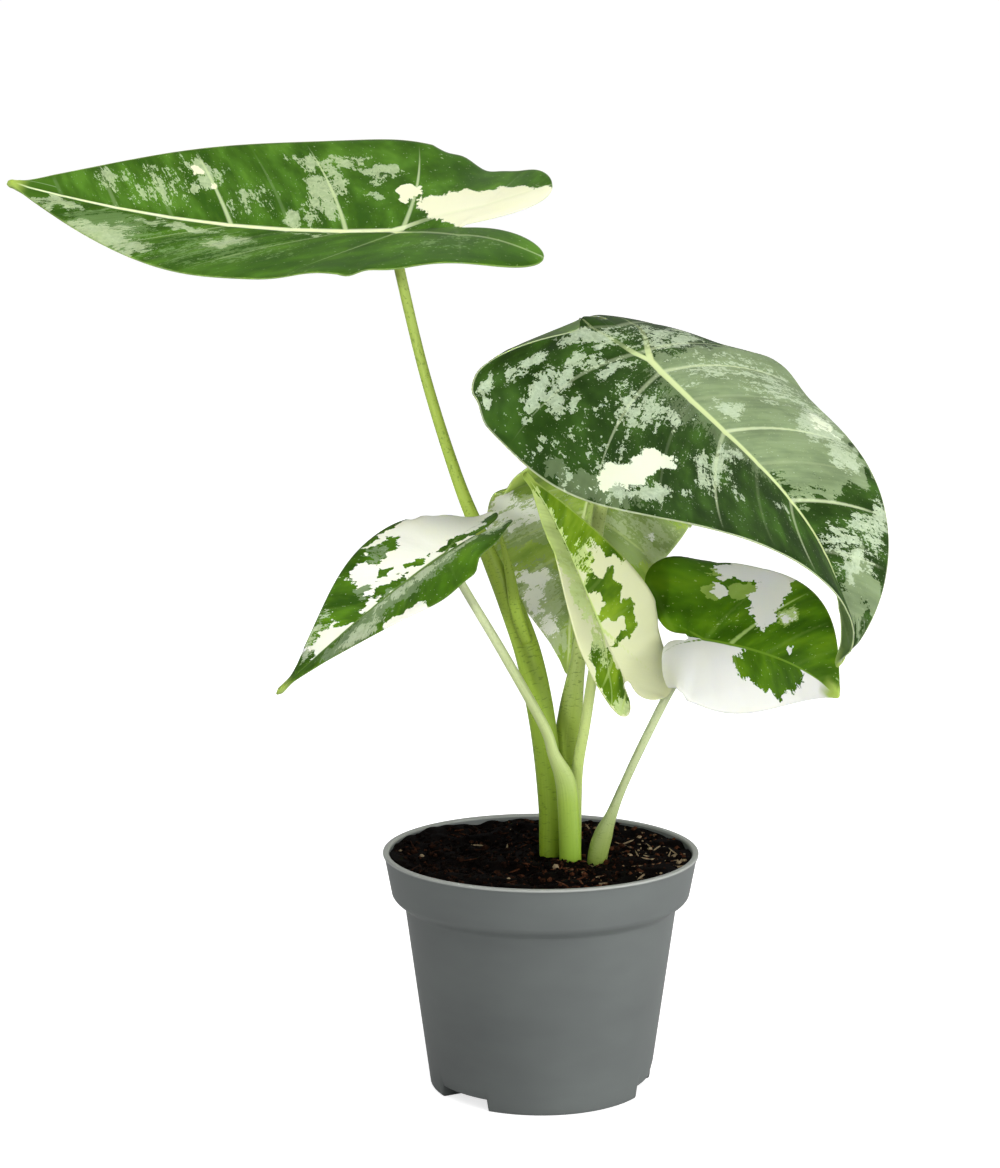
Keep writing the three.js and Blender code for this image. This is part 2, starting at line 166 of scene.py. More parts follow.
# Each light: place and aim in mm, width in mm, power in watts, and height and spread where they differ
# from a square panel that shines all round. The room and the floor are seen brighter than they light.
studio = {
    "roomLight": 0.46, "roomSeen": 1.02, "paper": "#e4e4e4", "paperSeen": 0.72, "floorHalf": 1500,
    "lights": {
        "key": {"place": (230, -200, 340), "aim": (0, 0, 50), "width": 200, "power": 0.44},
        "front": {"place": (200, -400, 90), "aim": (5, 0, 45), "width": 300, "power": 0.95},
        "fill": {"place": (-190, -390, 120), "aim": (12, 0, 71), "width": 220, "power": 0.037,
                 "height": 50, "spread": 14},
        "side": {"place": (330, -150, 40), "aim": (0, 0, 20), "width": 200, "power": 0.85},
        "top": {"place": (-150, -80, 420), "aim": (0, 0, 70), "width": 300, "power": 0.44},
        "back": {"place": (40, 260, 300), "aim": (0, 0, 60), "width": 240, "power": 0.1},
    },
}
floorMaterial, floorTree = newMaterial("studio paper")
floorGrain = addNode(floorTree, "TexNoise", {"Scale": 900.0, "Detail": 2.0})
floorBump = addNode(floorTree, "Bump", {"Strength": 0.02, "Distance": 0.0002, "Height": floorGrain})
floorSeen = addNode(floorTree, "LightPath").outputs["Is Camera Ray"]
floorGlow = addNode(floorTree, "Math", {0: floorSeen, 1: studio["paperSeen"]}, operation="MULTIPLY")
finishMaterial(floorTree, linear(studio["paper"]), 0.9, floorBump, **{
    "Emission Color": (1, 1, 1, 1), "Emission Strength": floorGlow})
floorCorners = np.array([[-1, -1, 0], [1, -1, 0], [1, 1, 0], [-1, 1, 0]])
makePiece("floor", floorCorners * studio["floorHalf"], [[0, 1, 2, 3]], floorMaterial)

for lightName, spec in studio["lights"].items():
    lightData = bpy.data.lights.new(lightName, "AREA")
    lightData.shape = "RECTANGLE"
    lightData.size = spec["width"] * mm
    lightData.size_y = spec.get("height", spec["width"]) * mm
    lightData.spread = math.radians(spec.get("spread", 180))
    lightData.energy = spec["power"]
    lightObject = bpy.data.objects.new(lightName, lightData)
    lightObject.location = [c * mm for c in spec["place"]]
    x, y, z = np.subtract(spec["place"], spec["aim"])
    lightObject.rotation_euler = (math.atan2(math.hypot(x, y), z), 0, math.atan2(y, x) + math.pi / 2)
    scene.collection.objects.link(lightObject)
world = bpy.data.worlds.new("studio")
world.use_nodes = True
roomGlow = world.node_tree.nodes["Background"]
roomStrength = addNode(world.node_tree, "MapRange", {
    "Value": addNode(world.node_tree, "LightPath").outputs["Is Camera Ray"],
    "To Min": studio["roomLight"], "To Max": studio["roomSeen"]})
world.node_tree.links.new(roomStrength.outputs[0], roomGlow.inputs["Strength"])
roomGlow.inputs["Color"].default_value = (1, 1, 1, 1)
scene.world = world
scene.view_settings.view_transform = "Standard"
print("camera, floor and lights placed")


# Pot: one moulded shell, turned, with three vents raised round its foot

pot = {
    "height": 25.3, "rimRadius": 16.7, "bandFootRadius": 15.75, "bandFootHeight": 20.8,
    "bodyTopRadius": 14.4, "bodyTopHeight": 19.6, "footRadius": 11.7, "wall": 0.6, "floor": 1,
    "footHollow": 0.25, "rimRound": 0.14, "profileStep": 0.5, "around": 360,
    "ventFirst": 105, "ventCount": 3, "ventSpan": 34, "ventHeight": 1.2, "ventInner": 8.4,
    "ventSide": 0.8, "ventTaper": 2.2,
    # the lip's paler colour is a painted highlight where the rim catches the light
    "tones": ((0.3, "#575b5a"), (0.72, "#616664")), "lipHighlight": "#9a9d98",
}


# A polyline of [radius, height] corners with each corner cut back by its own rounding, then
# spread into points not more than step apart.
def roundedProfile(corners, step):
    points = [np.array(corners[0][:2], float)]
    for before, here, after in zip(corners, corners[1:], corners[2:]):
        middle = np.array(here[:2], float)
        back, ahead = (np.array(other[:2], float) - middle for other in (before, after))
        cut = min(here[2], np.linalg.norm(back) / 2, np.linalg.norm(ahead) / 2)
        start = middle + back / np.linalg.norm(back) * cut
        end = middle + ahead / np.linalg.norm(ahead) * cut
        for t in np.linspace(0, 1, 6):
            points.append((1 - t) ** 2 * start + 2 * t * (1 - t) * middle + t ** 2 * end)
    points.append(np.array(corners[-1][:2], float))
    spread = [points[0]]
    for a, b in zip(points, points[1:]):
        count = max(1, int(math.ceil(np.linalg.norm(b - a) / step)))
        spread += [a + (b - a) * (k + 1) / count for k in range(count)]
    return np.array(spread)


# The profile is turned about Z. In each vent the foot rises by a smooth step of the angle, so the
# point's height is z + vent height * share, where the share falls to 0 above the foot and inside it.
def potSurface():
    wall, height, band, bandZ = pot["wall"], pot["height"], pot["bandFootRadius"], pot["bandFootHeight"]
    body, bodyZ, foot, rim = pot["bodyTopRadius"], pot["bodyTopHeight"], pot["footRadius"], pot["rimRadius"]
    hollow, rimRound, ventInner = pot["footHollow"], pot["rimRound"], pot["ventInner"]
    innerFoot = foot + (body - foot) * pot["floor"] / bodyZ - wall
    profile = roundedProfile([
        (0.02, hollow, 0), (ventInner - 0.8, hollow, 0.1), (ventInner - 0.5, 0, 0.1),
        (foot, 0, 0.35), (body, bodyZ, 0.25), (band - 0.25, bandZ - 0.35, 0.2),
        (band, bandZ, 0.15), (rim - 0.16, height - 0.36, 0.04), (rim - 0.02, height - 0.3, 0.05),
        (rim, height, rimRound), (rim - wall, height, rimRound), (band - wall, bandZ + wall, 0.2),
        (body - wall, bodyZ + wall, 0.3), (innerFoot, pot["floor"], 0.4), (0.02, pot["floor"], 0),
    ], pot["profileStep"])
    angle = roundTurn(pot["around"])
    radius, z = profile[:, :1], profile[:, 1:]
    apart = (np.degrees(angle) - pot["ventFirst"] + 60) % (360 / pot["ventCount"]) - 60
    inVent = np.clip((pot["ventSpan"] / 2 - np.abs(apart)) / pot["ventSide"], 0, 1)[None, :]
    outside = (np.arange(len(profile)) < np.argmax(profile[:, 1]))[:, None]
    low = np.clip(1 - z / (pot["ventTaper"] * pot["ventHeight"]), 0, 1)
    low = low * (radius > ventInner - 0.45) * outside
    x, y = radius * np.cos(angle), radius * np.sin(angle)
    return np.stack([x, y, z + pot["ventHeight"] * inVent * low], -1).reshape(-1, 3), len(profile)


# Polypropylene, injection moulded: an even mid grey with a satin skin, faint flow marks round it
# and a fine moulded grain (0.15 mm, coarser than the real 0.05 mm so that it shows).
def mouldedPlastic():
    material, tree = newMaterial("moulded polypropylene")
    place = addNode(tree, "TexCoord").outputs["Object"]
    flow = addNode(tree, "TexNoise", {
        "Vector": addNode(tree, "Mapping", {"Vector": place, "Scale": (60, 60, 140)}),
        "Scale": 1.0, "Detail": 3.0, "Roughness": 0.6})
    grain = addNode(tree, "TexNoise", {"Vector": place, "Scale": 1 / (0.15 * mm), "Detail": 2.0})
    tone = addNode(tree, "ValToRGB", {"Fac": flow}, stops=pot["tones"])
    # painted highlight: the thin top lip is painted paler, where the rim catches the light
    lip = addNode(tree, "MapRange", {
        "Value": addNode(tree, "SeparateXYZ", {0: place}).outputs["Z"],
        "From Min": (pot["height"] - 0.3) * mm, "From Max": (pot["height"] - 0.16) * mm})
    lipHighlight = addNode(tree, "Mix", {0: lip, 6: tone, 7: linear(pot["lipHighlight"])}, data_type="RGBA")
    gloss = addNode(tree, "MapRange", {
        "Value": flow, "From Min": 0.3, "From Max": 0.7, "To Min": 0.42, "To Max": 0.52})
    bump = addNode(tree, "Bump", {"Strength": 0.25, "Distance": 0.02 * mm, "Height": grain})
    finishMaterial(tree, lipHighlight, gloss, bump, **{"Specular IOR Level": 0.3})
    return material


potPoints, potRows = potSurface()
potPiece = makePiece("pot_shell", potPoints, turnedFaces(potRows, pot["around"]), mouldedPlastic())
standsFor(potPiece, "pot")
print("pot turned:", len(potPoints), "points")


# Soil: a lumpy bed with crumbs, fibres and pale grains lying in it

# Ranges are (least, most). A crumb's size is the least plus a random share of the span.
soil = {
    "edgeHeight": 24.8, "middleHeight": 24.4, "bottom": 1.6, "rings": 96, "around": 300, "seed": 5,
    "lumps": 900, "lumpWidth": (0.35, 1.3), "lumpRise": (-0.35, 0.5), "bumpiness": 0.8,
    "bumpLimits": (-0.7, 0.45), "stretch": ((0.8, 1.2), (0.6, 1), (0.45, 0.9)),
    "crumbs": 2400, "crumbLeast": 0.08, "crumbSpan": 0.34, "dent": 0.22, "lean": 0.4,
    "fibreShare": 0.05, "fibreLength": (0.6, 1.3), "fibreWidth": (0.07, 0.14), "fibreTone": (0.4, 0.65),
    "crumbTone": 0.56, "paleShare": 0.01, "paleTone": 0.97,
    "tones": ((0, "#020101"), (0.3, "#0a0503"), (0.55, "#25140b"), (0.8, "#52311f"), (0.95, "#8c7c62")),
}
random = np.random.default_rng(soil["seed"])
soilRadius = pot["bandFootRadius"] + (pot["rimRadius"] - pot["bandFootRadius"]) * 0.9 - pot["wall"] - 0.03
bodyInner = pot["bodyTopRadius"] - pot["wall"] - 0.1
lumpRadius = soilRadius * np.sqrt(random.random(soil["lumps"]))
lumpAngle = random.random(soil["lumps"]) * 2 * math.pi
lumpX, lumpY = lumpRadius * np.cos(lumpAngle), lumpRadius * np.sin(lumpAngle)
lumpWidth = random.uniform(*soil["lumpWidth"], soil["lumps"])
lumpHeight = random.uniform(*soil["lumpRise"], soil["lumps"]) * lumpWidth


# Height of the soil: a dish that rises to the wall with the cube of the radius, plus the sum of
# rounded lumps, each height * exp(-(distance / width) squared).
def soilHeight(x, y):
    low, high = soil["middleHeight"], soil["edgeHeight"]
    dish = low + (high - low) * (np.hypot(x, y) / soilRadius) ** 3
    total = np.zeros_like(x)
    for k in range(0, soil["lumps"], 100):
        part = slice(k, k + 100)
        gap = (x[..., None] - lumpX[part]) ** 2 + (y[..., None] - lumpY[part]) ** 2
        total += (lumpHeight[part] * np.exp(-gap / lumpWidth[part] ** 2)).sum(-1)
    return dish + np.clip(total * soil["bumpiness"], *soil["bumpLimits"])


# The top is a polar grid, and the side goes down inside the pot's wall to a flat base.
def soilSurface():
    angle = roundTurn(soil["around"])
    radius = soilRadius * np.linspace(0.002, 1, soil["rings"])[:, None]
    x, y = radius * np.cos(angle), radius * np.sin(angle)
    rows = [np.stack([x, y, soilHeight(x, y)], -1)]
    for r, z in [(soilRadius - 0.9, pot["bandFootHeight"] + 0.8), (bodyInner, pot["bodyTopHeight"]),
                 (pot["footRadius"] - 0.8, soil["bottom"]), (0.03, soil["bottom"])]:
        rows.append(np.stack([r * np.cos(angle), r * np.sin(angle), np.full_like(angle, z)], -1)[None])
    return np.concatenate(rows).reshape(-1, 3), soil["rings"] + 4


# An octahedron split once and pushed to a ball: each face's edges are halved and it becomes four.
def splitBall():
    points = [[1, 0, 0], [0, 1, 0], [-1, 0, 0], [0, -1, 0], [0, 0, 1], [0, 0, -1]]
    coarse = [(k, (k + 1) % 4, 4) for k in range(4)] + [((k + 1) % 4, k, 5) for k in range(4)]
    middles, faces = {}, []
    for a, b, c in coarse:
        mids = []
        for pair in ((a, b), (b, c), (c, a)):
            key = (min(pair), max(pair))
            if key not in middles:
                middles[key] = len(points)
                points.append(np.add(points[key[0]], points[key[1]]))
            mids.append(middles[key])
        faces += [(a, mids[0], mids[2]), (b, mids[1], mids[0]), (c, mids[2], mids[1]), tuple(mids)]
    return unit(np.array(points, float)), np.array(faces)


# Crumbs: balls scattered over the soil, each stretched, turned and dented at random.
def crumbs():
    ball, ballFaces = splitBall()
    count = soil["crumbs"]
    radius = (soilRadius - 0.5) * np.sqrt(random.random(count))
    turn = random.random(count) * 2 * math.pi
    x, y = radius * np.cos(turn), radius * np.sin(turn)
    size = soil["crumbLeast"] + soil["crumbSpan"] * random.random(count) ** 2.4
    stretch = np.stack([size * random.uniform(*span, count) for span in soil["stretch"]], -1)
    fibre = random.random(count) < soil["fibreShare"]
    stretch[fibre] = np.stack([random.uniform(*soil["fibreLength"], fibre.sum()),
                               *random.uniform(*soil["fibreWidth"], (2, fibre.sum()))], -1)
    dents = 1 + random.uniform(-soil["dent"], soil["dent"], (count, len(ball), 1))
    lumps = ball[None] * dents * stretch[:, None, :]
    spin, lean = random.random(count) * 2 * math.pi, random.uniform(-soil["lean"], soil["lean"], count)
    along = np.stack([np.cos(spin) * np.cos(lean), np.sin(spin) * np.cos(lean), np.sin(lean)], -1)
    side = np.stack([-np.sin(spin), np.cos(spin), np.zeros(count)], -1)
    axes = np.stack([along, side, np.cross(along, side)], 1)
    height = np.minimum(soilHeight(x, y) + stretch[:, 2] * 0.35, pot["height"] - 0.35)
    placed = np.einsum("nvk,nkc->nvc", lumps, axes) + np.stack([x, y, height], -1)[:, None, :]
    fibreTone = random.uniform(*soil["fibreTone"], count)
    tone = np.where(fibre, fibreTone, random.random(count) ** 2 * soil["crumbTone"])
    # painted light: the crumbs are painted lighter and browner towards the right, where the light falls
    tone *= 1 + 0.95 * np.clip(x / soilRadius, -0.25, 1)
    tone[random.random(count) < soil["paleShare"]] = soil["paleTone"]
    index = ballFaces[None] + (np.arange(count) * len(ball))[:, None, None]
    return placed.reshape(-1, 3), index.reshape(-1, 3), np.repeat(tone, len(ball))


# Peat and bark: nearly black where damp, with brown crumbs, tan fibres and a few pale grains. The
# tone of each crumb comes with its mesh; the bed is mottled at 0.7 mm and 0.25 mm.
def peat():
    material, tree = newMaterial("damp peat")
    place = addNode(tree, "TexCoord").outputs["Object"]
    mottle = addNode(tree, "TexNoise", {
        "Vector": place, "Scale": 1 / (0.7 * mm), "Detail": 5.0, "Roughness": 0.7})
    grain = addNode(tree, "TexNoise", {"Vector": place, "Scale": 1 / (0.25 * mm), "Detail": 4.0})
    patchy = addNode(tree, "MapRange", {
        "Value": mottle, "From Min": 0.35, "From Max": 0.8, "To Min": 0.0, "To Max": 0.4})
    mixed = addNode(tree, "Math", {
        0: patchy, 1: addNode(tree, "Attribute", attribute_name="tone").outputs["Fac"]}, operation="ADD")
    ramp = addNode(tree, "ValToRGB", {"Fac": mixed}, stops=soil["tones"])
    bump = addNode(tree, "Bump", {"Strength": 0.8, "Distance": 0.12 * mm, "Height": grain})
    finishMaterial(tree, ramp, 0.92, bump, **{"Specular IOR Level": 0.04})
    return material


bedPoints, bedRows = soilSurface()
crumbPoints, crumbFaces, crumbTone = crumbs()
bedFaces = [face[::-1] for face in turnedFaces(bedRows, soil["around"])]
soilPiece = makePiece("soil_bed", np.vstack([bedPoints, crumbPoints]),
                      bedFaces + (crumbFaces + len(bedPoints)).tolist(), peat(),
                      {"tone": np.concatenate([np.zeros(len(bedPoints)), crumbTone])})
standsFor(soilPiece, "soil")
print("soil laid:", soil["crumbs"], "crumbs")


# Corm: the CAD body with a fibrous brown skin, buried in the soil

# Dried corm skin: brown papery rings 0.8 mm apart with fine fibres along them.
def cormSkin():
    material, tree = newMaterial("papery corm skin")
    place = addNode(tree, "TexCoord").outputs["Object"]
    rings = addNode(tree, "TexNoise", {
        "Vector": addNode(tree, "Mapping", {"Vector": place, "Scale": (150, 150, 1250)}),
        "Scale": 1.0, "Detail": 4.0})
    tone = addNode(tree, "ValToRGB", {"Fac": rings}, stops=((0.35, "#3c2a1a"), (0.7, "#8a6b48")))
    bump = addNode(tree, "Bump", {"Strength": 0.6, "Distance": 0.1 * mm, "Height": rings})
    finishMaterial(tree, tone, 0.85, bump)
    return material


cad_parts["corm"].data.materials.clear()
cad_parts["corm"].data.materials.append(cormSkin())
print("corm skinned")


# Leaves. Each blade is laid out along its midrib by a from -1 at the lobe ends through 0 at the hub
# to 1 at the tip, with angles in degrees at a = -1, 0, 0.5 and 1, and pairs for the left and right half.
# wave: height, half waves and turn of the slow ripple. path, widths and depths: the petiole's, which is
# round where no depths are given. veins: where the side veins leave the midrib, in mm from the hub, and
# their slopes at the lobe ends, the hub and the tip. broken: how far the cream, silver and veil patches
# are torn. The veil is partly the leaf's own dull grey-green and partly a painted sheen, paler where a
# half is seen at a grazing angle. ground: how strong cream is between the patches. tones: in the order
# of toneKinds. Patches are (along, across, half length, half width, amount) and, where they are turned,
# the turn in degrees. Across counts from the midrib, left positive, and a negative amount is a hole in
# that colour.

leaves = {
    "tall": {
        "hub": (-15.5, 0.5, 90.2), "length": 42, "backLength": 16.7, "halfWidth": (15.4, 15.9),
        "shape": (1.8, 1.1), "lobeWidth": (0.52, 0.5), "joined": 0.46, "opening": 1.3,
        "yaw": (179, 161, 169, 179), "pitch": (7, -2, 7, 15), "roll": (-24, -24, -33, -42),
        "lift": ((6, 13, 10, 0), (8, 15, 17, 10)), "curl": ((8, 7, 6, 11), (10, 13, 7, 6)),
        "wave": (0.4, 2.5, 20),
        "path": ((1.3, 1.2, 18), (1, 1.3, 24.4), (1, 1.3, 30), (0.3, 1.1, 38), (-1.2, 0.8, 45.7),
                 (-3.2, 0.8, 51.5), (-5.6, 1.1, 57), (-8.7, 1.2, 64.6), (-12.2, 0.9, 76)),
        "widths": (2, 2.2, 2.5, 2.8, 2.8, 2.5, 1.8, 1.3, 1.1, 1.1),
        "depths": (2, 2.1, 2.2, 2.2, 2, 1.8, 1.5, 1.2, 1.1, 1.1),
        "veins": (-13, -7, -1.2, 4.9, 11, 17.5, 24, 30, 36),
        "veinShow": (0.1, 0.15, 0.9, 1, 0.1, 1, 0.1, 0.2, 0.1),
        "slopes": ((-1.2, 0.9, 1.9), (-0.9, 0.3, 0.75)), "veinSides": (0.4, 1), "ribWidth": 0.5,
        "broken": (0.35, 1.45, 1), "ground": (-0.6, -0.6),
        "tones": ("#2a4c05", "#3a5f10", "#4f7820", "#66834a", "#a8b78f", "#dadbbb", "#ced7aa", "#b4c392",
                  "#6f8752", "#7f9852"),
        "cream": ((-11, -4.3, 8.4, 4, 1.3), (-0.4, -6.4, 1.1, 1.8, 1.05), (23.6, -6.4, 0.9, 0.8, 0.7),
                  (21.6, -5.2, 0.6, 0.9, 0.7)),
        "silver": ((36, 1.4, 2.6, 0.8, 0.95), (8, 1.1, 3.4, 0.4, 0.7), (11.6, -10.6, 2.2, 1.3, 0.75),
                   (8.9, -5.4, 1.9, 3.8, 1, 12), (11, -1.8, 1.4, 1.2, 0.8), (7.6, -10.8, 1.6, 1.2, 0.8),
                   (3.8, -10, 1.8, 0.7, 1), (3.2, -8.6, 1.4, 0.8, 0.55), (3.6, -6, 0.8, 1, 0.6),
                   (22.6, -7, 2.6, 1.2, 0.85, -8), (22, -5, 0.9, 1.4, 0.95), (26.5, -3.8, 3, 2.4, 0.5),
                   (31.4, -3.2, 1.6, 1.4, 0.62), (16.5, -3.6, 2.4, 2, 0.4), (30.4, 5, 3.6, 1.9, 1.1),
                   (26.4, 7, 2.6, 1, 0.85), (21.5, 2, 2.4, 0.7, 1), (16.5, 4.4, 2.2, 1.2, 0.95, 15),
                   (26, 1.2, 2.4, 0.5, 0.7)),
        "veilAndSheen": ((30, 4, 5, 3.4, 0.8), (17, 6, 9, 4, 0.5), (-8, 8, 5, 3, 0.35)),
    },
    "broad": {
        "hub": (11.1, -2, 77.1), "length": 40, "backLength": 10.2, "halfWidth": (19, 19.8),
        "shape": (2.45, 1.05), "lobeWidth": (0.5, 0.5), "joined": 0.74, "opening": 2.6,
        "yaw": (-4, -49, -34, -27), "pitch": (8, -33, -43, -108), "roll": (-7, 5, 5, -8),
        "lift": ((4, 8, 16, 29), (-4, -5, 9, 41)), "curl": ((9, 34, 28, 2), (25, 25, 38, 24)),
        "wave": (0.5, 2.5, 100),
        "path": ((3.2, 2.7, 18), (3.3, 2.9, 24.4), (3.1, 2.8, 30), (2.8, 2.5, 35.5), (3.2, 2.3, 40),
                 (4, 2.2, 45.6), (5.1, 1.7, 53), (6.1, 0.7, 61), (7.9, -0.5, 69)),
        "widths": (1.8, 1.9, 2.1, 2.7, 2.5, 1.6, 1.4, 1.4, 1.2, 1.1),
        "depths": (1.6, 1.6, 1.6, 1.5, 1.5, 1.4, 1.3, 1.3, 1.2, 1.1),
        "veins": (-6, -1.5, 1.9, 6.8, 12, 17, 22, 28, 34),
        "veinShow": (0.3, 0.5, 0.7, 0.12, 0.85, 0.12, 0.8, 0.2, 0.1),
        "slopes": ((-0.3, -0.1, 0.5), (-0.4, 0.2, 0.95)), "veinSides": (1, 0.6), "ribWidth": 0.5,
        "veilAndSheenSides": (1, 0.5), "broken": (0.8, 1.6, 1.1), "ground": (-0.6, -0.6),
        "tones": ("#1a3006", "#263f0f", "#37571a", "#7b8c67", "#aab89c", "#ccd5bb", "#b3c08a", "#bcc8a0",
                  "#6f8752", "#c3cda8"),
        "cream": ((12.2, -12.6, 1.6, 4.4, 1.2, -8), (14.5, 13.4, 2.1, 1.7, 0.62)),
        "silver": ((-1.8, -9.5, 1, 5, 0.9, 10), (0, -13.5, 0.9, 3, 0.85, 10), (-0.4, -4.6, 0.8, 1.8, 0.8),
                   (-4, -13, 1, 2.2, 0.75), (-3, -18.2, 1.6, 1.2, 1.1), (2, -12.2, 1, 2, 0.75),
                   (5.6, -6.2, 2.6, 3.2, 0.7, 20), (8.4, -3.6, 1.4, 1.2, 0.55),
                   (15.2, -14.4, 1.1, 2.8, 1, -40), (15.5, -6, 1.6, 2.2, 0.68), (15, -2.6, 1.2, 1.2, 0.8),
                   (17.5, -8.8, 2, 1.8, 0.7), (22.5, -3.4, 1, 0.7, 0.75), (-5.6, -5, 1.2, 4.6, 1, -15),
                   (-3.4, 5, 2.4, 5, 0.68), (9.3, 3, 1.3, 1.8, 0.9), (15.2, 12.6, 2.9, 3, 1),
                   (20, 11.4, 1.5, 2.4, 0.95), (27.2, 6, 2.6, 5, 0.62), (30.4, 3.4, 1.2, 2.3, 1.1),
                   (24.6, 5, 1.4, 5.4, -1), (24.8, 1.4, 1.5, 1.2, -1.2), (25.7, 4.2, 0.9, 1.6, 0.9),
                   (27, 10.6, 2, 1.6, 0.8), (21, 15, 0.9, 1.1, -1.3), (23.2, 13, 0.8, 0.9, -1.2),
                   (6, 12, 4, 4, 0.5), (12, 15, 4, 3, 0.6), (3, 6, 2, 4, 0.45), (15.2, -10.6, 1, 1.6, -1.3),
                   (8, -14, 5, 3, 0.2)),
        "veilAndSheen": ((9.8, 9, 14, 10, 1.6), (22, 16, 3, 2.4, 1.2), (33.5, 4, 3.6, 3.8, 1.2),
                 (11, -17.4, 4.6, 1.4, 1.15, 10), (25.3, 6, 1.7, 8, -1.1), (21, 15, 0.9, 0.9, -1.6),
                 (23.2, 13, 0.8, 0.9, -1.5), (18.7, 15.2, 0.6, 0.6, -1.3), (32.3, 6.6, 2.2, 1.2, -1.1),
                 (35.4, 3.4, 1.6, 0.9, -1.1), (-3.5, 6, 2.8, 7, -1.4)),
    },
    "left": {
        "hub": (-9.9, -8.2, 58), "length": 22.2, "backLength": 7.3, "halfWidth": (7.2, 8.3),
        "shape": (1.55, 1.15), "lobeWidth": (0.4, 0.4), "joined": 0.5, "opening": 1.3,
        "yaw": (194, 200, 197, 176), "pitch": (-24, -31, -38, -43), "roll": (0, -9, -14, -7),
        "lift": ((11, 8, 6, 6), (9, 20, 23, 14)), "curl": ((13, 16, 16, 13), (7, 8, 2, 4)),
        "wave": (0.3, 2.5, 200),
        "path": ((3, -1.5, 18), (3.1, -2, 24.4), (2.9, -2, 30), (2.5, -2.1, 33.3), (1.3, -2.5, 36.2),
                 (0.2, -3, 39.4), (-4, -4.8, 47.3), (-7.5, -6.4, 53.5)),
        "widths": (2.2, 2.3, 2.3, 2.1, 1.3, 1.1, 1, 0.9, 0.9),
        "depths": (2, 2, 1.9, 1.6, 1.2, 1.1, 1, 0.9, 0.9), "veins": (-4, 0, 4.5, 9.2, 13.6, 17.6),
        "veinShow": (0.1, 0.2, 0.2, 0.2, 0.2, 0.1), "slopes": ((-0.7, 0.2, 1.2), (-0.7, 0.2, 1.2)),
        "veinSides": (1, 1), "ribWidth": 0.25, "broken": (0.7, 1.3, 1.1), "ground": (-0.6, 1),
        "tones": ("#294804", "#3c600a", "#537c12", "#728560", "#b2be9f", "#dfe0d3", "#5b7636", "#5d7a34",
                  "#7b8d62", "#3f5a1c"),
        "cream": ((5, -7.5, 5, 0.55, -1.3, 10), (4.3, -5.3, 1.8, 1, -1.25, 10),
                  (7.4, -6.3, 1.8, 1, -1.25, 15), (5.9, -2.5, 0.9, 0.4, -1.2, -20),
                  (3.1, -1.4, 1.2, 0.5, -1.2, -25), (8.3, -2.3, 1.2, 0.5, -1), (6.3, -0.6, 2, 0.8, -1.3, -8),
                  (10.8, -3.2, 1.8, 3.2, -1.35), (12, -1.2, 1.4, 0.6, -1.1), (14.8, -3.2, 3, 1.3, -1.15),
                  (18.4, -0.9, 1.9, 1, -1.2), (-2.5, -0.8, 3, 0.5, -1.3), (21, 0, 2, 1.2, -1.4),
                  (-6.5, -2, 1.2, 1.6, -0.9), (7.8, 5.3, 2.3, 0.9, 1.05, -10), (-6, 2.6, 1.6, 1.6, 0.55)),
        "silver": ((5, 1, 5, 0.9, 0.7, -3), (12, 2.6, 2.6, 1.2, 0.85), (-3, 1.4, 2.6, 0.8, 0.7),
                   (-5.6, 3, 1.6, 1.6, 0.75), (15, -3, 2.4, 0.9, 0.6), (17, -1.2, 1.4, 0.7, 0.7)),
        "veilAndSheen": ((5.5, 1.3, 7, 1.5, 1.1, -3), (13, 2.2, 4, 1.8, 0.9), (8.3, -2.3, 1.3, 0.7, 1),
                 (5, -5, 2, 1.4, 0.6)),
    },
    "young": {
        "hub": (6, -6.2, 50.1), "length": 17.9, "backLength": 9.3, "halfWidth": (4.6, 6.7),
        "shape": (1.4, 1.25), "lobeWidth": (0.4, 0.5), "joined": 0.66, "opening": 3,
        "yaw": (178, 182, 179, 175), "pitch": (70, 67, 66, 52), "roll": (-72, -79, -85, -86),
        "lift": ((40, 53, 60, 61), (-1, -3, 6, 4)), "curl": ((18, 22, 21, 18), (12, 14, 9, 7)),
        "wave": (0.2, 2, 0),
        "path": ((3.5, 0.7, 18), (3.6, 0.6, 24.4), (3.7, 0.4, 30.6), (3.9, -0.2, 34.5), (4.6, -1.4, 39),
                 (5.1, -2.6, 43), (5.6, -3.9, 47)),
        "widths": (1.4, 1.4, 1.3, 1.2, 1.1, 1.1, 1, 0.9), "veins": (-6.4, -3, 0.2, 3.8, 7.6, 11.2, 14.6),
        "veinShow": (0.8, 0.7, 0.3, 0.3, 0.3, 0.2, 0.1), "slopes": ((-1, 0, 1), (-1, 0, 1)),
        "veinSides": (1, 0.4), "ribWidth": 0.25, "broken": (0.6, 1.2, 1.1), "ground": (1, 1),
        "tones": ("#385801", "#597a09", "#7a9820", "#c0d088", "#b7c88a", "#c5c9a1", "#b4c67c", "#9db35b",
                  "#97a961", "#a9bd62"),
        "cream": ((13, -1.6, 4.6, 2.7, -1.45), (7.8, -4, 2.2, 0.8, -1.3, 25), (7.4, -1, 1.2, 1, -1.15),
                  (4.8, -0.9, 1.2, 0.9, -1.15), (3.3, -2.4, 1.4, 0.95, -1.35), (4.8, -3, 0.7, 0.6, -1.2),
                  (1.1, -1.9, 0.7, 2.1, -1.35), (-0.3, -3.3, 1.2, 0.7, -1.3),
                  (-1.9, -1.4, 0.5, 1.3, -1.2, 10), (-4.6, 2.2, 3.8, 1.7, -1.45), (15, 1.2, 3, 1, -1.2),
                  (3.4, 0.7, 5, 0.6, -0.75), (8, 0.5, 4, 0.4, -0.9), (10.5, 1.6, 5, 1.3, -1),
                  (4.4, 1.9, 3, 1, -0.72), (-0.6, 1.7, 2.4, 0.8, -0.66)),
        "silver": ((3, 2, 6, 1.6, 0.6), (-8, 2.4, 1, 1, 1)),
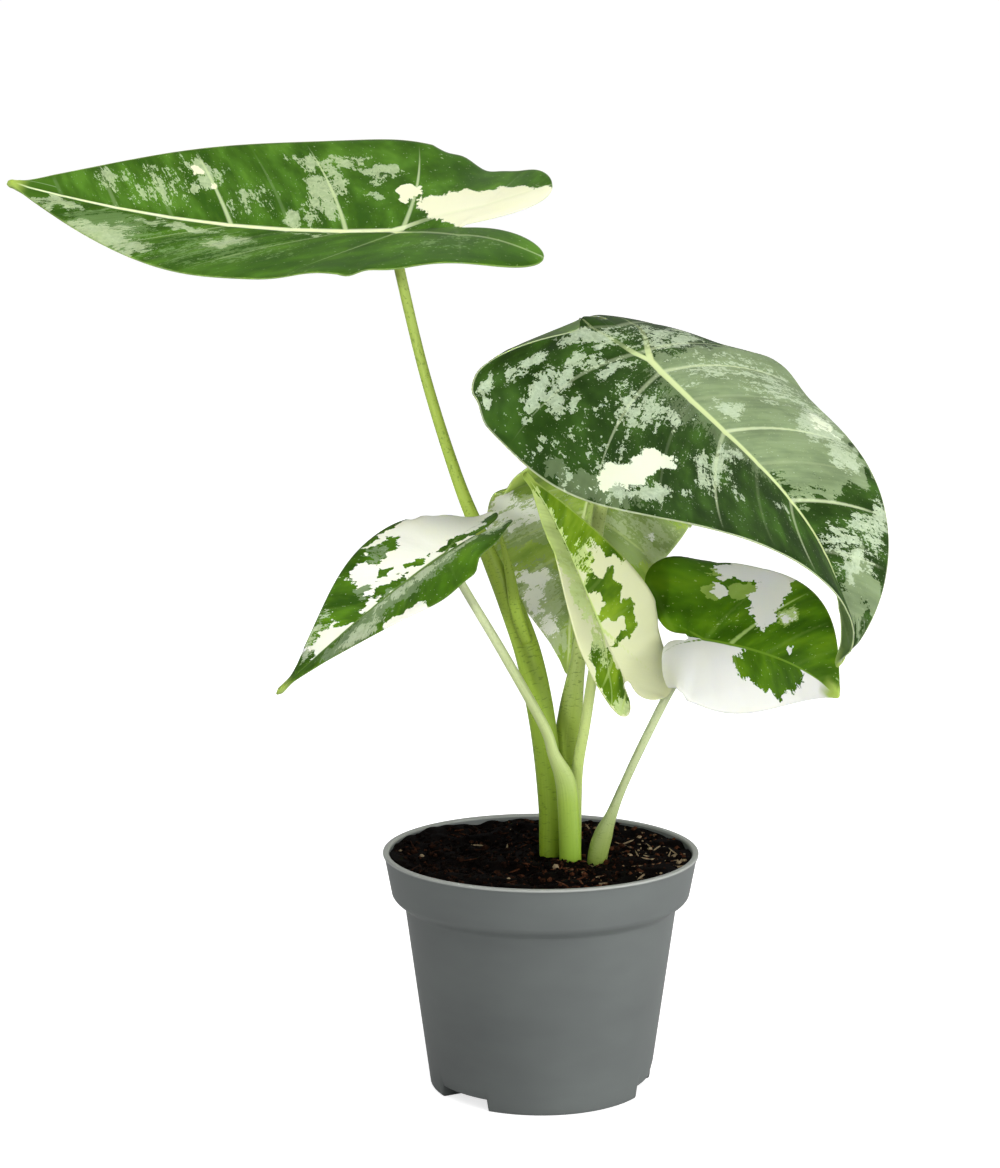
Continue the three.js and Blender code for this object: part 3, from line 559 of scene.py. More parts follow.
        "veilAndSheen": ((5.5, 1.4, 7, 1.6, 1.1), (12.6, 1.2, 4.6, 1.4, 1.1), (7, -1.8, 2.4, 1.6, 0.5)),
    },
    "rear": {
        "hub": (5.9, 8.9, 63.8), "length": 25.3, "backLength": 6.8, "halfWidth": (12.2, 11.6),
        "shape": (1.75, 1.05), "lobeWidth": (0.56, 0.58), "joined": 0.3, "opening": 1.3,
        "yaw": (95, 111, 105, 92), "pitch": (-39, -47, -71, -71), "roll": (8, 9, 13, 30),
        "lift": ((-9, -6, 4, 19), (-15, -11, -2, 0)), "curl": ((23, 22, 20, 20), (25, 25, 21, 20)),
        "wave": (0.3, 2.5, 60),
        "path": ((1.9, 4.4, 18), (2.1, 4.6, 24.4), (2.8, 4.8, 30.6), (3.4, 5.2, 37), (3.8, 5.7, 43.5),
                 (4.1, 6.3, 50), (4.7, 7, 57)),
        "widths": (1.4, 1.4, 1.4, 1.3, 1.2, 1, 0.9, 0.8), "veins": (-4, 0.2, 4.6, 9.6, 14.6, 19.4),
        "veinShow": (0.5, 0.8, 0.8, 0.7, 0.5, 0.3), "slopes": ((-0.5, 0.1, 1), (-0.5, 0.1, 1)),
        "veinSides": (1, 1), "ribWidth": 0.35, "underShare": 0.1, "broken": (1, 1.2, 1),
        "ground": (-0.6, -0.6),
        # painted light: the rear leaf's greens are painted brighter than its own, standing in for light
        # shining through it
        "tones": ("#7b9a37", "#96b247", "#aec45f", "#93a86a", "#bccb98", "#f3f6e8", "#c2d18e", "#b9ca80",
                  "#7b8d62", "#b4c294"),
        "cream": ((4.6, 8.2, 2.6, 4.6, 0.68), (2, 10.5, 1.6, 1.6, 0.9), (13.8, 4.6, 1.1, 2.4, 0.9),
                  (16.6, 4.2, 2.8, 1.1, 0.8), (19.6, 2.6, 2.2, 1.3, 0.6), (6, -7.4, 0.6, 0.6, 0.7)),
        "silver": ((5.5, -6.4, 2, 5, 0.6), (5, 8, 3.4, 5, 0.72), (17.6, 3.4, 4.6, 2.6, 0.75),
                   (21.4, 1.6, 2.4, 1.6, 0.7), (9, -8.6, 1.6, 1.6, 0.7)),
        "veilAndSheen": ((8.8, -4.8, 2.4, 2.6, 1.15), (6, -7, 4, 4.5, 1.1), (16.6, 3.6, 4.6, 3.4, 1.2),
                 (6, 7, 3.6, 5.6, 0.8), (8.4, 5, 1, 3, 1)),
    },
    "small": {
        "hub": (16.7, -3.9, 48.5), "length": 15.7, "backLength": 4.9, "halfWidth": (11.4, 8),
        "shape": (2, 1), "lobeWidth": (0.55, 0.58), "joined": 0.3, "opening": 4.5, "yaw": (4, -13, -23, -36),
        "pitch": (8, -7, -16, -41), "roll": (55, 47, 64, 91), "lift": ((0, -3, -3, 14), (6, 10, -1, -3)),
        "curl": ((14, 14, 21, 13), (13, 12, 14, 16)), "wave": (0.2, 2, 0),
        "path": ((5.4, -1.2, 18), (5.9, -1.7, 24.4), (6.5, -1.8, 27.2), (7.4, -2, 29.6), (8.5, -2.3, 32.5),
                 (10.5, -2.7, 37.1), (13.4, -3, 43.1), (15.3, -3, 46)),
        "widths": (2, 2.1, 2, 1.2, 0.9, 0.9, 0.9, 0.9, 0.8),
        "depths": (1.7, 1.8, 1.6, 1.1, 0.9, 0.9, 0.9, 0.9, 0.8), "veins": (-3, 0.2, 2.8, 6.8, 10, 12.8),
        "veinShow": (0.05, 0.08, 1, 0.08, 0.06, 0.05), "slopes": ((-0.5, 0.3, 0.9), (-0.5, 0.3, 0.9)),
        "veinSides": (1, 0.2), "ribWidth": 0.2, "broken": (0.6, 1, 0.8), "ground": (-0.6, 1),
        "tones": ("#2f4f03", "#416506", "#587d0e", "#86a04a", "#a9bc7c", "#d0d1cc", "#5f8020", "#9ab363",
                  "#7b8d62", "#55691f"),
        "cream": ((4.8, 7.2, 1.5, 2.6, 1.25, -10), (5.3, 4.3, 0.9, 1.9, 1.15), (2.8, 10.1, 3.2, 1.3, 1.3),
                  (0.4, 8.9, 0.6, 0.6, 0.9), (0.3, 7, 0.55, 1.5, 0.95, 25), (7.3, 4.4, 0.7, 1, 0.62),
                  (8.9, 1.1, 0.4, 0.5, 1), (7.6, -1.4, 3.4, 1.9, -1.4), (5.2, -1.8, 0.9, 0.8, -1.3),
                  (9.6, -3, 0.6, 0.9, -1.2)),
        "silver": ((7.3, 4.6, 0.8, 1.2, 0.8), (2, 3.6, 2, 2, 0.2)),
        "veilAndSheen": ((2.4, 7.2, 1.5, 1.2, 1.15), (-0.3, 6.7, 0.7, 1.2, 1.05), (-0.4, 9.6, 0.7, 0.8, 0.9),
                 (7.2, 4.6, 0.9, 1.3, 0.9)),
    },
}
bladeMake = {
    "step": 0.36, "sinusNotch": 0.5, "flatTip": 2.4, "halfThickness": 0.13, "marginThickness": 0.05,
    "puff": 0.0286, "ribDepth": 0.84, "veinDepth": 0.16, "veinWidth": 0.3, "tipEnd": 0.998,
    "nibWidth": 0.4, "nibLength": 2.4, "nibReach": 1.1, "nibThickness": 0.2, "nibTone": "#93a94c",
    "frill": 0.006, "frillTurns": 12, "silverGround": -0.32, "veilAndSheenGround": -0.6, "veilAndSheenSides": (1, 1),
    "underShare": 0.45,
    "toneKinds": ("dark", "mid", "bright", "veilAndSheen", "silver", "cream", "rib", "vein", "under", "hem"),
}


# The cubic through four values given at a = -1, 0, 0.5 and 1.
def alongLeaf(values, a):
    return np.polyval(np.polyfit([-1, 0, 0.5, 1], values, 3), a)


# Unit vectors along the midrib, to its left and out of the blade's upper face: the heading from yaw
# and pitch, and the level left vector turned about it by the roll.
def bladeFrame(leaf, a):
    yaw, pitch, roll = (np.radians(alongLeaf(leaf[k], a)) for k in ("yaw", "pitch", "roll"))
    ahead = np.stack([np.cos(pitch) * np.cos(yaw), np.cos(pitch) * np.sin(yaw), np.sin(pitch)], -1)
    level = np.stack([-np.sin(yaw), np.cos(yaw), np.zeros_like(yaw)], -1)
    left = level * np.cos(roll)[..., None] + np.cross(ahead, level) * np.sin(roll)[..., None]
    return ahead, left, np.cross(ahead, left)


# The midrib's points: the heading summed in short steps away from the hub.
def midribPoints(leaf, a, steps=400):
    points = np.empty((len(a), 3))
    for sign, span in ((-1, leaf["backLength"]), (1, leaf["length"])):
        middle = sign * (np.arange(steps) + 0.5) / steps
        walk = np.cumsum(bladeFrame(leaf, middle)[0] * sign * span / steps, axis=0)
        walk = np.vstack([np.zeros(3), walk])
        chosen = a * sign >= 0
        ends = np.arange(steps + 1) / steps
        for k in range(3):
            points[chosen, k] = leaf["hub"][k] + np.interp(np.abs(a[chosen]), ends, walk[:, k])
    return points


# Distances from the midrib to the sinus and to the margin. Towards the tip the width falls as
# (1 - a^m)^n, but not below that of a round-ended nib, and towards a lobe's end it falls to its last
# share as the root of 1 - b^2.6.
def bladeEdges(leaf, a, side):
    width, end = leaf["halfWidth"][side], leaf["lobeWidth"][side]
    m, n = leaf["shape"]
    back, ahead = np.clip(-a, 0, 1), np.clip(a, 0, 1)
    nib = bladeMake["nibWidth"] * np.sqrt(1 - (1 - np.clip((1 - ahead) * leaf["length"] / 0.5, 0, 1)) ** 2)
    front = np.maximum(width * (1 - ahead ** m) ** n, nib)
    outer = np.where(a >= 0, front, width * (end + (1 - end) * np.sqrt(1 - back ** 2.6)))
    opened = np.clip((back - leaf["joined"]) / (1 - leaf["joined"]), 0, 1)
    part = 1 - np.sqrt(1 - opened ** leaf["opening"])
    notch = bladeMake["sinusNotch"] * np.clip(opened / 0.06, 0, 1) ** 0.5
    return np.where(back > leaf["joined"], notch + (end * width - notch) * part, 0), outer


# Side veins leave the midrib at their starts S and run at s = S + slope * r + bow * r^2, where r is the
# distance from the midrib. The phase counts veins along the leaf at each r, the spacing is the
# distance between the two beside a point, and the start is where the vein through a point begins.
def veinPhase(leaf, along, reach, across):
    starts = np.array(leaf["veins"], float)
    atLobe, atHub, atTip = (np.where(across > 0, *pair) for pair in zip(*leaf["slopes"]))
    share = np.abs(starts)[:, None]
    slopes = np.where(starts[:, None] < 0, atHub + (atLobe - atHub) * (share / leaf["backLength"]) ** 0.5,
                      atHub + (atTip - atHub) * (share / leaf["length"]) ** 0.5)
    curves = starts[:, None] + slopes * reach + 0.012 * reach ** 2
    phase = np.zeros_like(along)
    spacing = np.full_like(along, starts[1] - starts[0])
    for low, high in zip(curves, curves[1:]):
        gap = high - low
        phase += np.clip((along - low) / gap, 0, 1)
        spacing = np.where(along > low, gap, spacing)
    phase += np.minimum(along - curves[0], 0) / (starts[1] - starts[0])
    phase += np.maximum(along - curves[-1], 0) / (starts[-1] - starts[-2])
    return phase, spacing, np.interp(phase, np.arange(len(starts)), starts)


# Strength of a kind of patch: 1.25 at a patch's middle, 0.5 on its edge, falling with the 1.5 power of
# the distance to the ground's strength. The strongest patch counts, and then the holes are taken away.
# Places are first pushed about by two sine waves each way, 5 mm and 2 mm long on a leaf of 40 mm, so
# that no patch keeps a smooth outline.
def patchField(patches, ground, along, across, size):
    x, y = along / size, across / size
    along = along + size * (0.55 * np.sin(1.26 * y + 0.7 * x) + 0.28 * np.sin(3.3 * y - 1.1 * x + 2))
    across = across + size * (0.45 * np.sin(1.1 * x + 0.9 * y + 1) + 0.28 * np.sin(2.9 * x + 1.7 * y))
    field = np.zeros_like(along) + ground
    holes = np.zeros_like(along)
    for s, t, length, width, amount, *turn in patches:
        angle = math.radians(sum(turn))
        c, n = math.cos(angle), math.sin(angle)
        u = ((along - s) * c + (across - t) * n) / length
        v = ((across - t) * c - (along - s) * n) / width
        cone = 1.25 - 0.75 * np.hypot(u, v) ** 1.5
        if amount > 0:
            field = np.maximum(field, amount * cone)
        else:
            holes = np.maximum(holes, -amount * np.clip(cone, 0, 1.25))
    return field - holes


# The middle surface of one half: a station a, then v of the way from the sinus to the margin. The half
# leaves the midrib at its lift and bends on an arc by its curl, so that at a reach r it is
# w/c (sin lift - sin end) out and w/c (cos end - cos lift) up, with end = lift - c r / w. Two ripples are
# added, a slow one that grows with r^2 and a frill at the margin that grows with r^4. Each row of the
# result is a point, its place along and across the leaf, its reach and its distance from the margin.
def bladeHalf(leaf, a, v, side):
    width, length, sign = leaf["halfWidth"][side], leaf["length"], (1, -1)[side]
    stations = a
    inner, outer = (e[:, None] for e in bladeEdges(leaf, a, side))
    a = a[:, None]
    reach = inner + (outer - inner) * v
    fold = np.where(a > 0, np.minimum(outer / bladeMake["flatTip"], 1), 1)
    lift = np.radians(alongLeaf(leaf["lift"][side], a)) * fold
    bend = np.radians(np.maximum(alongLeaf(leaf["curl"][side], a), 0.1))
    end = lift - bend * reach / width
    out = width / bend * (np.sin(lift) - np.sin(end))
    height, waves, turn = leaf["wave"]
    rise = width / bend * (np.cos(end) - np.cos(lift))
    rise += height * (reach / width) ** 2 * np.sin(math.pi * waves * a + math.radians(turn + 75 * side))
    frillTurn = bladeMake["frillTurns"] * a + 2.6 * np.sin(5 * a + side) + 4 * side
    rise += bladeMake["frill"] * length * (reach / width) ** 4 * np.sin(frillTurn)
    _, left, up = bladeFrame(leaf, stations)
    points = (midribPoints(leaf, stations)[:, None, :] + sign * out[..., None] * left[:, None, :]
              + rise[..., None] * up[:, None, :])
    along = a * np.where(a < 0, leaf["backLength"], length) + 0 * reach
    margin = np.minimum(outer - reach, np.where(inner > 0, reach - inner, 99))
    margin = np.minimum(margin, (1 - a) * length)
    return np.dstack([points, along, sign * reach, reach, margin]).reshape(-1, 7)


# Turns an open sheet into a closed one: every vertex goes up and down along its normal by its own
# amounts, and a wall joins the two faces round the edge.
def thickSheet(points, quads, above, below):
    normals = np.zeros_like(points)
    corners = points[quads]
    facing = np.cross(corners[:, 2] - corners[:, 0], corners[:, 3] - corners[:, 1])
    for k in range(4):
        np.add.at(normals, quads[:, k], facing)
    normals = unit(normals)
    count = len(points)
    edges = np.concatenate([quads[:, [k, (k + 1) % 4]] for k in range(4)])
    forward = edges[:, 0] * count + edges[:, 1]
    border = edges[~np.isin(forward, edges[:, 1] * count + edges[:, 0])]
    border = border[border[:, 0] != border[:, 1]]
    walls = np.stack([border[:, 1], border[:, 0], border[:, 0] + count, border[:, 1] + count], -1)
    both = np.vstack([points + normals * above[:, None], points - normals * below[:, None]])
    return both, np.vstack([quads, quads[:, ::-1] + count, walls])


# Drops repeated corners of quads, so that the collapsed ones become triangles or vanish.
def cleanFaces(quads):
    same = quads == np.roll(quads, -1, axis=1)
    whole = quads[~same.any(1)].tolist()
    for quad, repeated in zip(quads[same.any(1)], same[same.any(1)]):
        if repeated.sum() == 1:
            whole.append(quad[~repeated].tolist())
    return whole


# The whole blade. Its two halves share the midrib's vertices in front of the sinus. Raised below are
# the midrib, as exp(-(distance / its width) squared), and the side veins likewise, and the skin between
# the veins is puffed up with the sine of the phase. The marks tell the skin where it is on the leaf.
def bladeMesh(leaf):
    step, length, backLength = bladeMake["step"], leaf["length"], leaf["backLength"]
    a = np.unique(np.concatenate([
        -np.sin(np.linspace(0, 1, int(backLength / step * 1.3)) * math.pi / 2), [-leaf["joined"]],
        bladeMake["tipEnd"] * (1 - (1 - np.linspace(0, 1, int(length / step))) ** 1.15)]))
    columns = int(max(leaf["halfWidth"]) / step * 0.95) + 4
    v = np.linspace(0, 1, columns) ** 1.25
    grid = np.vstack([bladeHalf(leaf, a, v, side) for side in (0, 1)])
    faces = gridQuads(len(a), columns)
    _, index, inverse = np.unique(np.round(grid[:, :3], 4), axis=0, return_index=True, return_inverse=True)
    quads = inverse.ravel()[np.vstack([faces[:, ::-1], faces + len(a) * columns])]
    points, (along, across, reach, margin) = grid[index, :3], grid[index, 3:].T
    phase, spacing, start = veinPhase(leaf, along, reach, across)
    # the midrib thins towards the tip, and behind the hub it splits into a rib for each lobe
    ribWidth = leaf["ribWidth"] * np.where(along < 0, 1 - 0.7 * np.clip(-along / backLength, 0, 1),
                                           1 - 0.8 * np.clip(along / length, 0, 1))
    rib = np.abs(reach - 0.5 * np.clip(-along, 0, 99)) / ribWidth
    # side veins fade before they reach the margin
    veinShow = np.interp(phase, np.arange(len(leaf["veins"])), leaf["veinShow"])
    veinShow *= np.where(across > 0, *leaf["veinSides"])
    veinShow *= np.clip((0.96 - reach / np.maximum(reach + margin, 0.01)) / 0.3, 0, 1)
    far = np.clip(reach / (0.85 * max(leaf["halfWidth"])), 0, 1)
    inside = np.clip(margin / 1.2, 0, 1)
    puff = bladeMake["puff"] * length ** 0.5 * (np.abs(np.sin(math.pi * phase)) ** 0.8 - 0.55)
    puff *= inside ** 0.5 * np.clip(reach / 2, 0, 1)
    ridge = np.exp(-rib ** 2) * bladeMake["ribDepth"] * ribWidth
    veinGap = np.abs(phase - np.round(phase)) * spacing
    veinRidge = np.exp(-(veinGap / bladeMake["veinWidth"]) ** 2) * bladeMake["veinDepth"]
    veinRidge *= (1 - 0.8 * far) * inside * (0.4 + 0.6 * veinShow)
    thin, thick = bladeMake["marginThickness"], bladeMake["halfThickness"]
    half = thin + (thick - thin) * np.clip(margin / 0.7, 0, 1)
    nib = np.clip((along - length + bladeMake["nibLength"]) / 1.4, 0, 1)
    nib *= np.clip((bladeMake["nibReach"] - reach) / 0.5, 0, 1)
    half += bladeMake["nibThickness"] * nib * np.clip((length - along) / 0.5, 0, 1)
    above = half + puff - 0.25 * ridge - 0.45 * veinRidge
    whole, faces = thickSheet(points, quads, above, half - puff + ridge + veinRidge)
    zero = np.zeros_like(along)
    grounds = {"cream": np.where(across > 0, *leaf["ground"]),
               "silver": bladeMake["silverGround"], "veilAndSheen": bladeMake["veilAndSheenGround"]}
    marks = {
        "place": np.stack([along, across, zero], -1), "flow": np.stack([start, across, zero], -1),
        **{key: patchField(leaf[key], least, along, across, length / 40) for key, least in grounds.items()},
        "nib": nib, "rib": rib, "phase": phase, "spacing": spacing, "margin": margin, "far": far,
        "veinShow": veinShow, "ribShow": np.clip(1.3 + along / 3, 0.3, 1),
        "veilAndSheenShow": np.where(across > 0, *leaf.get("veilAndSheenSides", bladeMake["veilAndSheenSides"])),
    }
    marks = {key: np.concatenate([values, values]) for key, values in marks.items()}
    marks["under"] = np.repeat([0, 1], len(along))
    return whole, cleanFaces(faces), marks


# Living blade, velvety with a waxy skin: light comes back as a broad soft sheen, and part of it is painted
# in as the veil's pale grey-green. Cream and silver patches have crisp broken edges that follow the veins,
# over a ground mottled in three greens.
def leafSkin(name, leaf, seed):
    material, tree = newMaterial("waxy blade " + name)
    tones = dict(zip(bladeMake["toneKinds"], leaf["tones"]), nib=bladeMake["nibTone"])
    mark = {key: addNode(tree, "Attribute", attribute_name=key).outputs for key in (
        "place", "flow", "cream", "silver", "veilAndSheen", "veilAndSheenShow", "nib", "rib", "ribShow", "phase", "spacing",
        "veinShow", "margin", "far", "under")}
    place, flow = mark["place"]["Vector"], mark["flow"]["Vector"]
    mark = {key: outputs["Fac"] for key, outputs in mark.items()}
    # Noises: what each runs on, its start, its grain across and along in mm, its detail and roughness.
    # Streaks and clouds run with the side veins, and so do veinlets 0.45 mm apart and finer veins.
    noises = {
        "streaks": (flow, (seed, seed, seed), 0.9, 3.4, 6, 0.72),
        "splashes": (place, (seed * 3, 0, seed), 0.7, 0.7, 6, 0.72),
        "specks": (flow, (seed, 5, 0), 0.22, 0.4, 2, 0.6),
        "clouds": (flow, (0, seed * 2, 0), 2.6, 5, 3, 0.55),
        "veinlets": (flow, (0, 0, 0), 0.45, 9, 2, 0.5),
        "fineVeins": (flow, (0, 0, 0), 0.5, 2.2, 3, 0.5),
    }
    noise = {}
    for key, (on, start, wide, long, detail, rough) in noises.items():
        grain = addNode(tree, "Mapping", {"Vector": on, "Location": start, "Scale": (1 / wide, 1 / long, 1)})
        noise[key] = addNode(tree, "TexNoise", {
            "Vector": grain, "Scale": 1.0, "Detail": detail, "Roughness": rough})
    # veins: distance from the nearest side vein, against a width that tapers from 0.4 mm to 0.08 mm
    rounded = addNode(tree, "Math", {0: mark["phase"]}, operation="ROUND")
    offVein = addNode(tree, "Math", {0: mark["phase"], 1: rounded}, operation="SUBTRACT")
    offVein = addNode(tree, "Math", {0: offVein}, operation="ABSOLUTE")
    veinGap = addNode(tree, "Math", {0: offVein, 1: mark["spacing"]}, operation="MULTIPLY")
    veinWidth = addNode(tree, "MapRange", {"Value": mark["far"], "To Min": 0.4, "To Max": 0.08})
    veinGap = addNode(tree, "Math", {0: veinGap, 1: veinWidth}, operation="DIVIDE")
    # Shares: what each follows, from and to which value of it, and the share at either end. Veinlets
    # show in the paler areas, single flecks lie all over the green, and the hem is 0.15 mm wide.
    soft, crisp = "LINEAR", "SMOOTHSTEP"
    shares = {
        "veinlets": (noise["veinlets"], 0.35, 0.65, 0.84, 1, soft),
        "clouds": (noise["clouds"], 0.38, 0.6, 0.72, 1, soft),
        "thin": (noise["splashes"], 0.35, 0.65, 0.6, 1, soft),
        "flecks": (noise["specks"], 0.66, 0.72, 0, 0.5, crisp),
        "vein": (veinGap, 1, 0.25, 0, 0.85, crisp),
        "rib": (mark["rib"], 1.15, 0.6, 0, 1, crisp),
        "hem": (mark["margin"], 0.2, 0.06, 0, 0.55, crisp),
        "gloss": (noise["clouds"], 0.3, 0.7, 0.5, 0.62, soft),
    }
    # each kind of patch is torn where the noises push its strength over or under a half
    push = 0.0
    for key, amount in (("streaks", 2.4), ("splashes", 1.6), ("specks", 1.1)):
        centred = addNode(tree, "Math", {0: noise[key], 1: 0.5}, operation="SUBTRACT")
        push = addNode(tree, "Math", {0: centred, 1: amount, 2: push}, operation="MULTIPLY_ADD")
    for key, sign, broken in zip(("cream", "silver", "veilAndSheen"), (1, -1, 1), leaf["broken"]):
        torn = addNode(tree, "Math", {0: push, 1: sign * broken, 2: mark[key]}, operation="MULTIPLY_ADD")
        shares[key] = (torn, 0.47, 0.53, 0, 1, crisp)
    share = {key: addNode(tree, "MapRange", {
        "Value": value, "From Min": low, "From Max": high, "To Min": least, "To Max": most,
    }, interpolation_type=kind) for key, (value, low, high, least, most, kind) in shares.items()}
    silver = addNode(tree, "Math", {0: share["silver"], 1: share["thin"]}, operation="MULTIPLY")
    silver = addNode(tree, "Math", {0: silver, 1: share["flecks"]}, operation="MAXIMUM")
    uncreamed = addNode(tree, "Math", {0: share["cream"], 1: -0.85, 2: 1.0}, operation="MULTIPLY_ADD")
    # colours lie over the ground in this order, each as strongly as the product of its shares: the veil's
    # dull grey-green, partly where the green cells lie deep and partly a painted sheen, then silver where
    # the green cells are thin
    layers = (
        ("veilAndSheen", share["veilAndSheen"], mark["veilAndSheenShow"], share["clouds"], share["veinlets"]), ("silver", silver),
        ("vein", share["vein"], mark["veinShow"]), ("cream", share["cream"]),
        ("rib", share["rib"], mark["ribShow"]), ("hem", uncreamed, share["hem"]), ("nib", mark["nib"]),
        ("under", mark["under"], leaf.get("underShare", bladeMake["underShare"])),
    )
    colour = addNode(tree, "ValToRGB", {"Fac": noise["clouds"]}, stops=(
        (0.38, tones["dark"]), (0.52, tones["mid"]), (0.68, tones["bright"])))
    for tone, amount, *factors in layers:
        for factor in factors:
            amount = addNode(tree, "Math", {0: amount, 1: factor}, operation="MULTIPLY")
        colour = addNode(tree, "Mix", {0: amount, 6: colour, 7: linear(tones[tone])}, data_type="RGBA")
    bump = addNode(tree, "Bump", {"Strength": 0.5, "Distance": 0.05 * mm, "Height": noise["fineVeins"]})
    finishMaterial(tree, colour, share["gloss"], bump, **{
        "Specular IOR Level": 0.08, "Subsurface Weight": 0.35, "Subsurface Scale": 0.4 * mm,
        "Subsurface Radius": (1, 1, 0.4)})
    return material


for seed, (leafName, leaf) in enumerate(leaves.items(), 1):
    bladePoints, bladeFaces, bladeMarks = bladeMesh(leaf)
    bladeSkin = leafSkin(leafName, leaf, seed)
    bladePiece = makePiece("leaf_" + leafName, bladePoints, bladeFaces, bladeSkin, bladeMarks)
    standsFor(bladePiece, "blade_" + leafName)
    print("blade", leafName, "grown:", len(bladeFaces), "faces")


# Petioles: oval stalks that widen into sheaths at the base. Skin colours are given at heights in mm,
# and ticks is how strongly the short dark ticks show. The horn is the free tip of the tall one's sheath.

petiole = {
    "around": 40, "step": 0.35, "seat": 0.2, "fibre": "#4f6d12", "tick": "#46610f",
    "hornPath": ((-1.5, -0.2, 47.5), (-2.6, -0.3, 51), (-3.3, -0.5, 55), (-4.3, -0.6, 59.3)),
    "hornWidths": (1.2, 1.3, 1, 0.3), "hornDepths": (0.7, 0.7, 0.6, 0.3),
    "looks": {
        "tall": {"slot": "petiole_green", "ticks": 0.5,
                 "tones": ((24, "#7b9622"), (40, "#8da932"), (58, "#98af41"), (80, "#98ab4c"))},
        "broad": {"slot": "petiole_green", "ticks": 0.55,
                  "tones": ((24, "#728b20"), (38, "#8ca23c"), (50, "#b9c87c"), (70, "#a9ba66"))},
        "left": {"slot": "petiole_pale", "ticks": 0.12,
                 "tones": ((24, "#82a42e"), (31, "#96b146"), (36, "#b3c27e"), (50, "#c0c99c"))},
        "young": {"slot": "petiole_pale", "ticks": 0.2,
                  "tones": ((24, "#a4bd55"), (34, "#bccf78"), (42, "#c4d388"), (50, "#b9ca7c"))},
        "rear": {"slot": "petiole_green", "ticks": 0.5,
                 "tones": ((24, "#86a03a"), (38, "#93ab48"), (50, "#9db258"), (64, "#a6b86a"))},
        "small": {"slot": "petiole_pale", "ticks": 0.3,
                  "tones": ((24, "#7a8d3b"), (27.5, "#8f9f5a"), (31, "#b0bc8a"), (47, "#c0c9a2"))},
    },
}


# A bar along a path: at u, an oval ring of half widths and half depths stands square to the path,
# closed at both ends by a ring of no size. The skin is told its place as a point on a unit ring that
# rises by the length run.
def barMesh(path, widths, depths):
    around = petiole["around"]
    rough = through(path, np.linspace(0, 1, 200))
    length = np.linalg.norm(np.diff(rough, axis=0), axis=1).sum()
    u = np.linspace(0, 1, int(length / petiole["step"]))
    centre = through(path, u)
    ahead = unit(np.gradient(centre, axis=0))
    back = unit(np.array([0, 1, 0]) - ahead * ahead[:, 1:2])
    angle = roundTurn(around)
    wide, deep = through(widths, u) / 2, through(depths, u) / 2
    rings = (centre[:, None, :] + np.cross(back, ahead)[:, None, :] * (wide * np.cos(angle))[..., None]
             + back[:, None, :] * (deep * np.sin(angle))[..., None])
    points = np.concatenate([np.repeat(centre[:1], around, 0), rings.reshape(-1, 3),
                             np.repeat(centre[-1:], around, 0)])
    run = np.concatenate([[0], u, [1]])[:, None] * length + 0 * angle
    skin = np.stack([np.cos(angle) + 0 * run, np.sin(angle) + 0 * run, run], -1).reshape(-1, 3)
    return points, gridQuads(len(u) + 2, around, wrap=True), skin


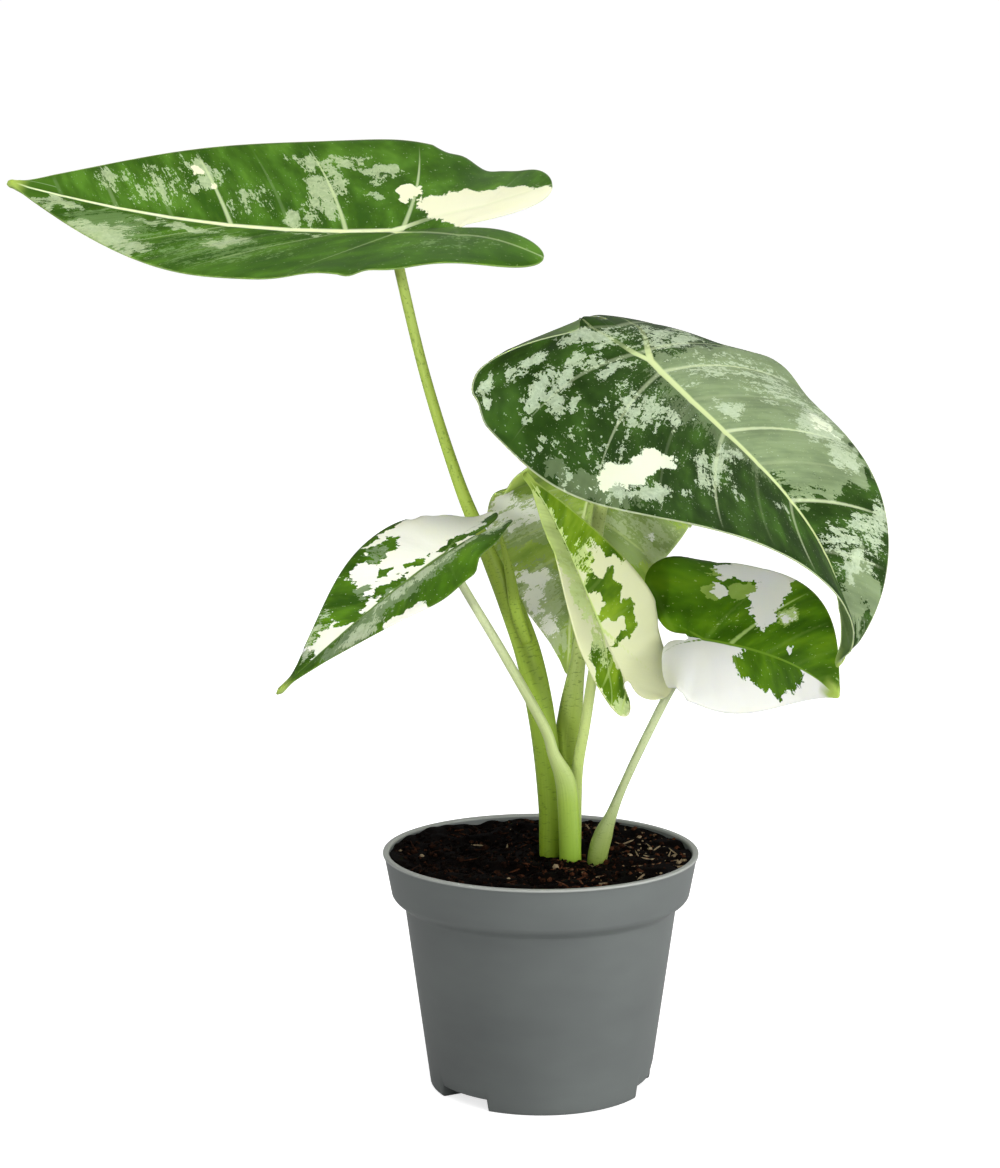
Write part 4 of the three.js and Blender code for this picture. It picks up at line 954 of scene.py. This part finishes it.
# Petiole skin: smooth and juicy, with fibres that run its length (0.15 mm apart) and short dark
# ticks across it, 0.7 mm long and 0.2 mm high.
def petioleSkin(name, looks):
    material, tree = newMaterial("juicy stalk " + name)
    place = addNode(tree, "TexCoord").outputs["Object"]
    ring = addNode(tree, "Attribute", attribute_name="ring").outputs["Vector"]
    low, high = looks["tones"][0][0], looks["tones"][-1][0]
    risen = addNode(tree, "MapRange", {
        "Value": addNode(tree, "SeparateXYZ", {0: place}).outputs["Z"],
        "From Min": low * mm, "From Max": high * mm})
    tone = addNode(tree, "ValToRGB", {"Fac": risen}, stops=[
        ((height - low) / (high - low), colour) for height, colour in looks["tones"]])
    fibres, ticks = (addNode(tree, "TexNoise", {
        "Vector": addNode(tree, "Mapping", {"Vector": ring, "Scale": scale}),
        "Scale": 1.0, "Detail": detail, "Roughness": 0.6,
    }) for scale, detail in (((7, 7, 0.12), 4.0), ((1.8, 1.8, 4.5), 3.0)))
    fibreShade = addNode(tree, "MapRange", {
        "Value": fibres, "From Min": 0.3, "From Max": 0.7, "To Min": 0.22, "To Max": 0.0})
    tickShade = addNode(tree, "MapRange", {
        "Value": ticks, "From Min": 0.58, "From Max": 0.66, "To Max": looks["ticks"]},
        interpolation_type="SMOOTHSTEP")
    fibred = addNode(tree, "Mix", {0: fibreShade, 6: tone, 7: linear(petiole["fibre"])}, data_type="RGBA")
    ticked = addNode(tree, "Mix", {0: tickShade, 6: fibred, 7: linear(petiole["tick"])}, data_type="RGBA")
    gloss = addNode(tree, "MapRange", {
        "Value": fibres, "From Min": 0.3, "From Max": 0.7, "To Min": 0.36, "To Max": 0.48})
    bump = addNode(tree, "Bump", {"Strength": 0.4, "Distance": 0.05 * mm, "Height": fibres})
    finishMaterial(tree, ticked, gloss, bump, **{
        "Specular IOR Level": 0.25, "Subsurface Weight": 0.15, "Subsurface Scale": 0.8 * mm,
        "Subsurface Radius": (1, 1, 0.4)})
    return material


for leafName, leaf in leaves.items():
    looks = petiole["looks"][leafName]
    hubUp = bladeFrame(leaf, np.array([0.0]))[2][0]
    seat = np.array(leaf["hub"]) - hubUp * petiole["seat"]
    widths = leaf["widths"]
    stalkPoints, stalkQuads, ring = barMesh([*leaf["path"], seat], widths, leaf.get("depths", widths))
    if leafName == "tall":
        horn = barMesh(petiole["hornPath"], petiole["hornWidths"], petiole["hornDepths"])
        stalkQuads = np.vstack([stalkQuads, horn[1] + len(stalkPoints)])
        stalkPoints, ring = np.vstack([stalkPoints, horn[0]]), np.vstack([ring, horn[2]])
    stalkPiece = makePiece("stalk_" + leafName, stalkPoints, stalkQuads.tolist(),
                           petioleSkin(leafName, looks), {"ring": ring})
    standsFor(stalkPiece, "petiole_" + leafName)
    print("stalk", leafName, "drawn")
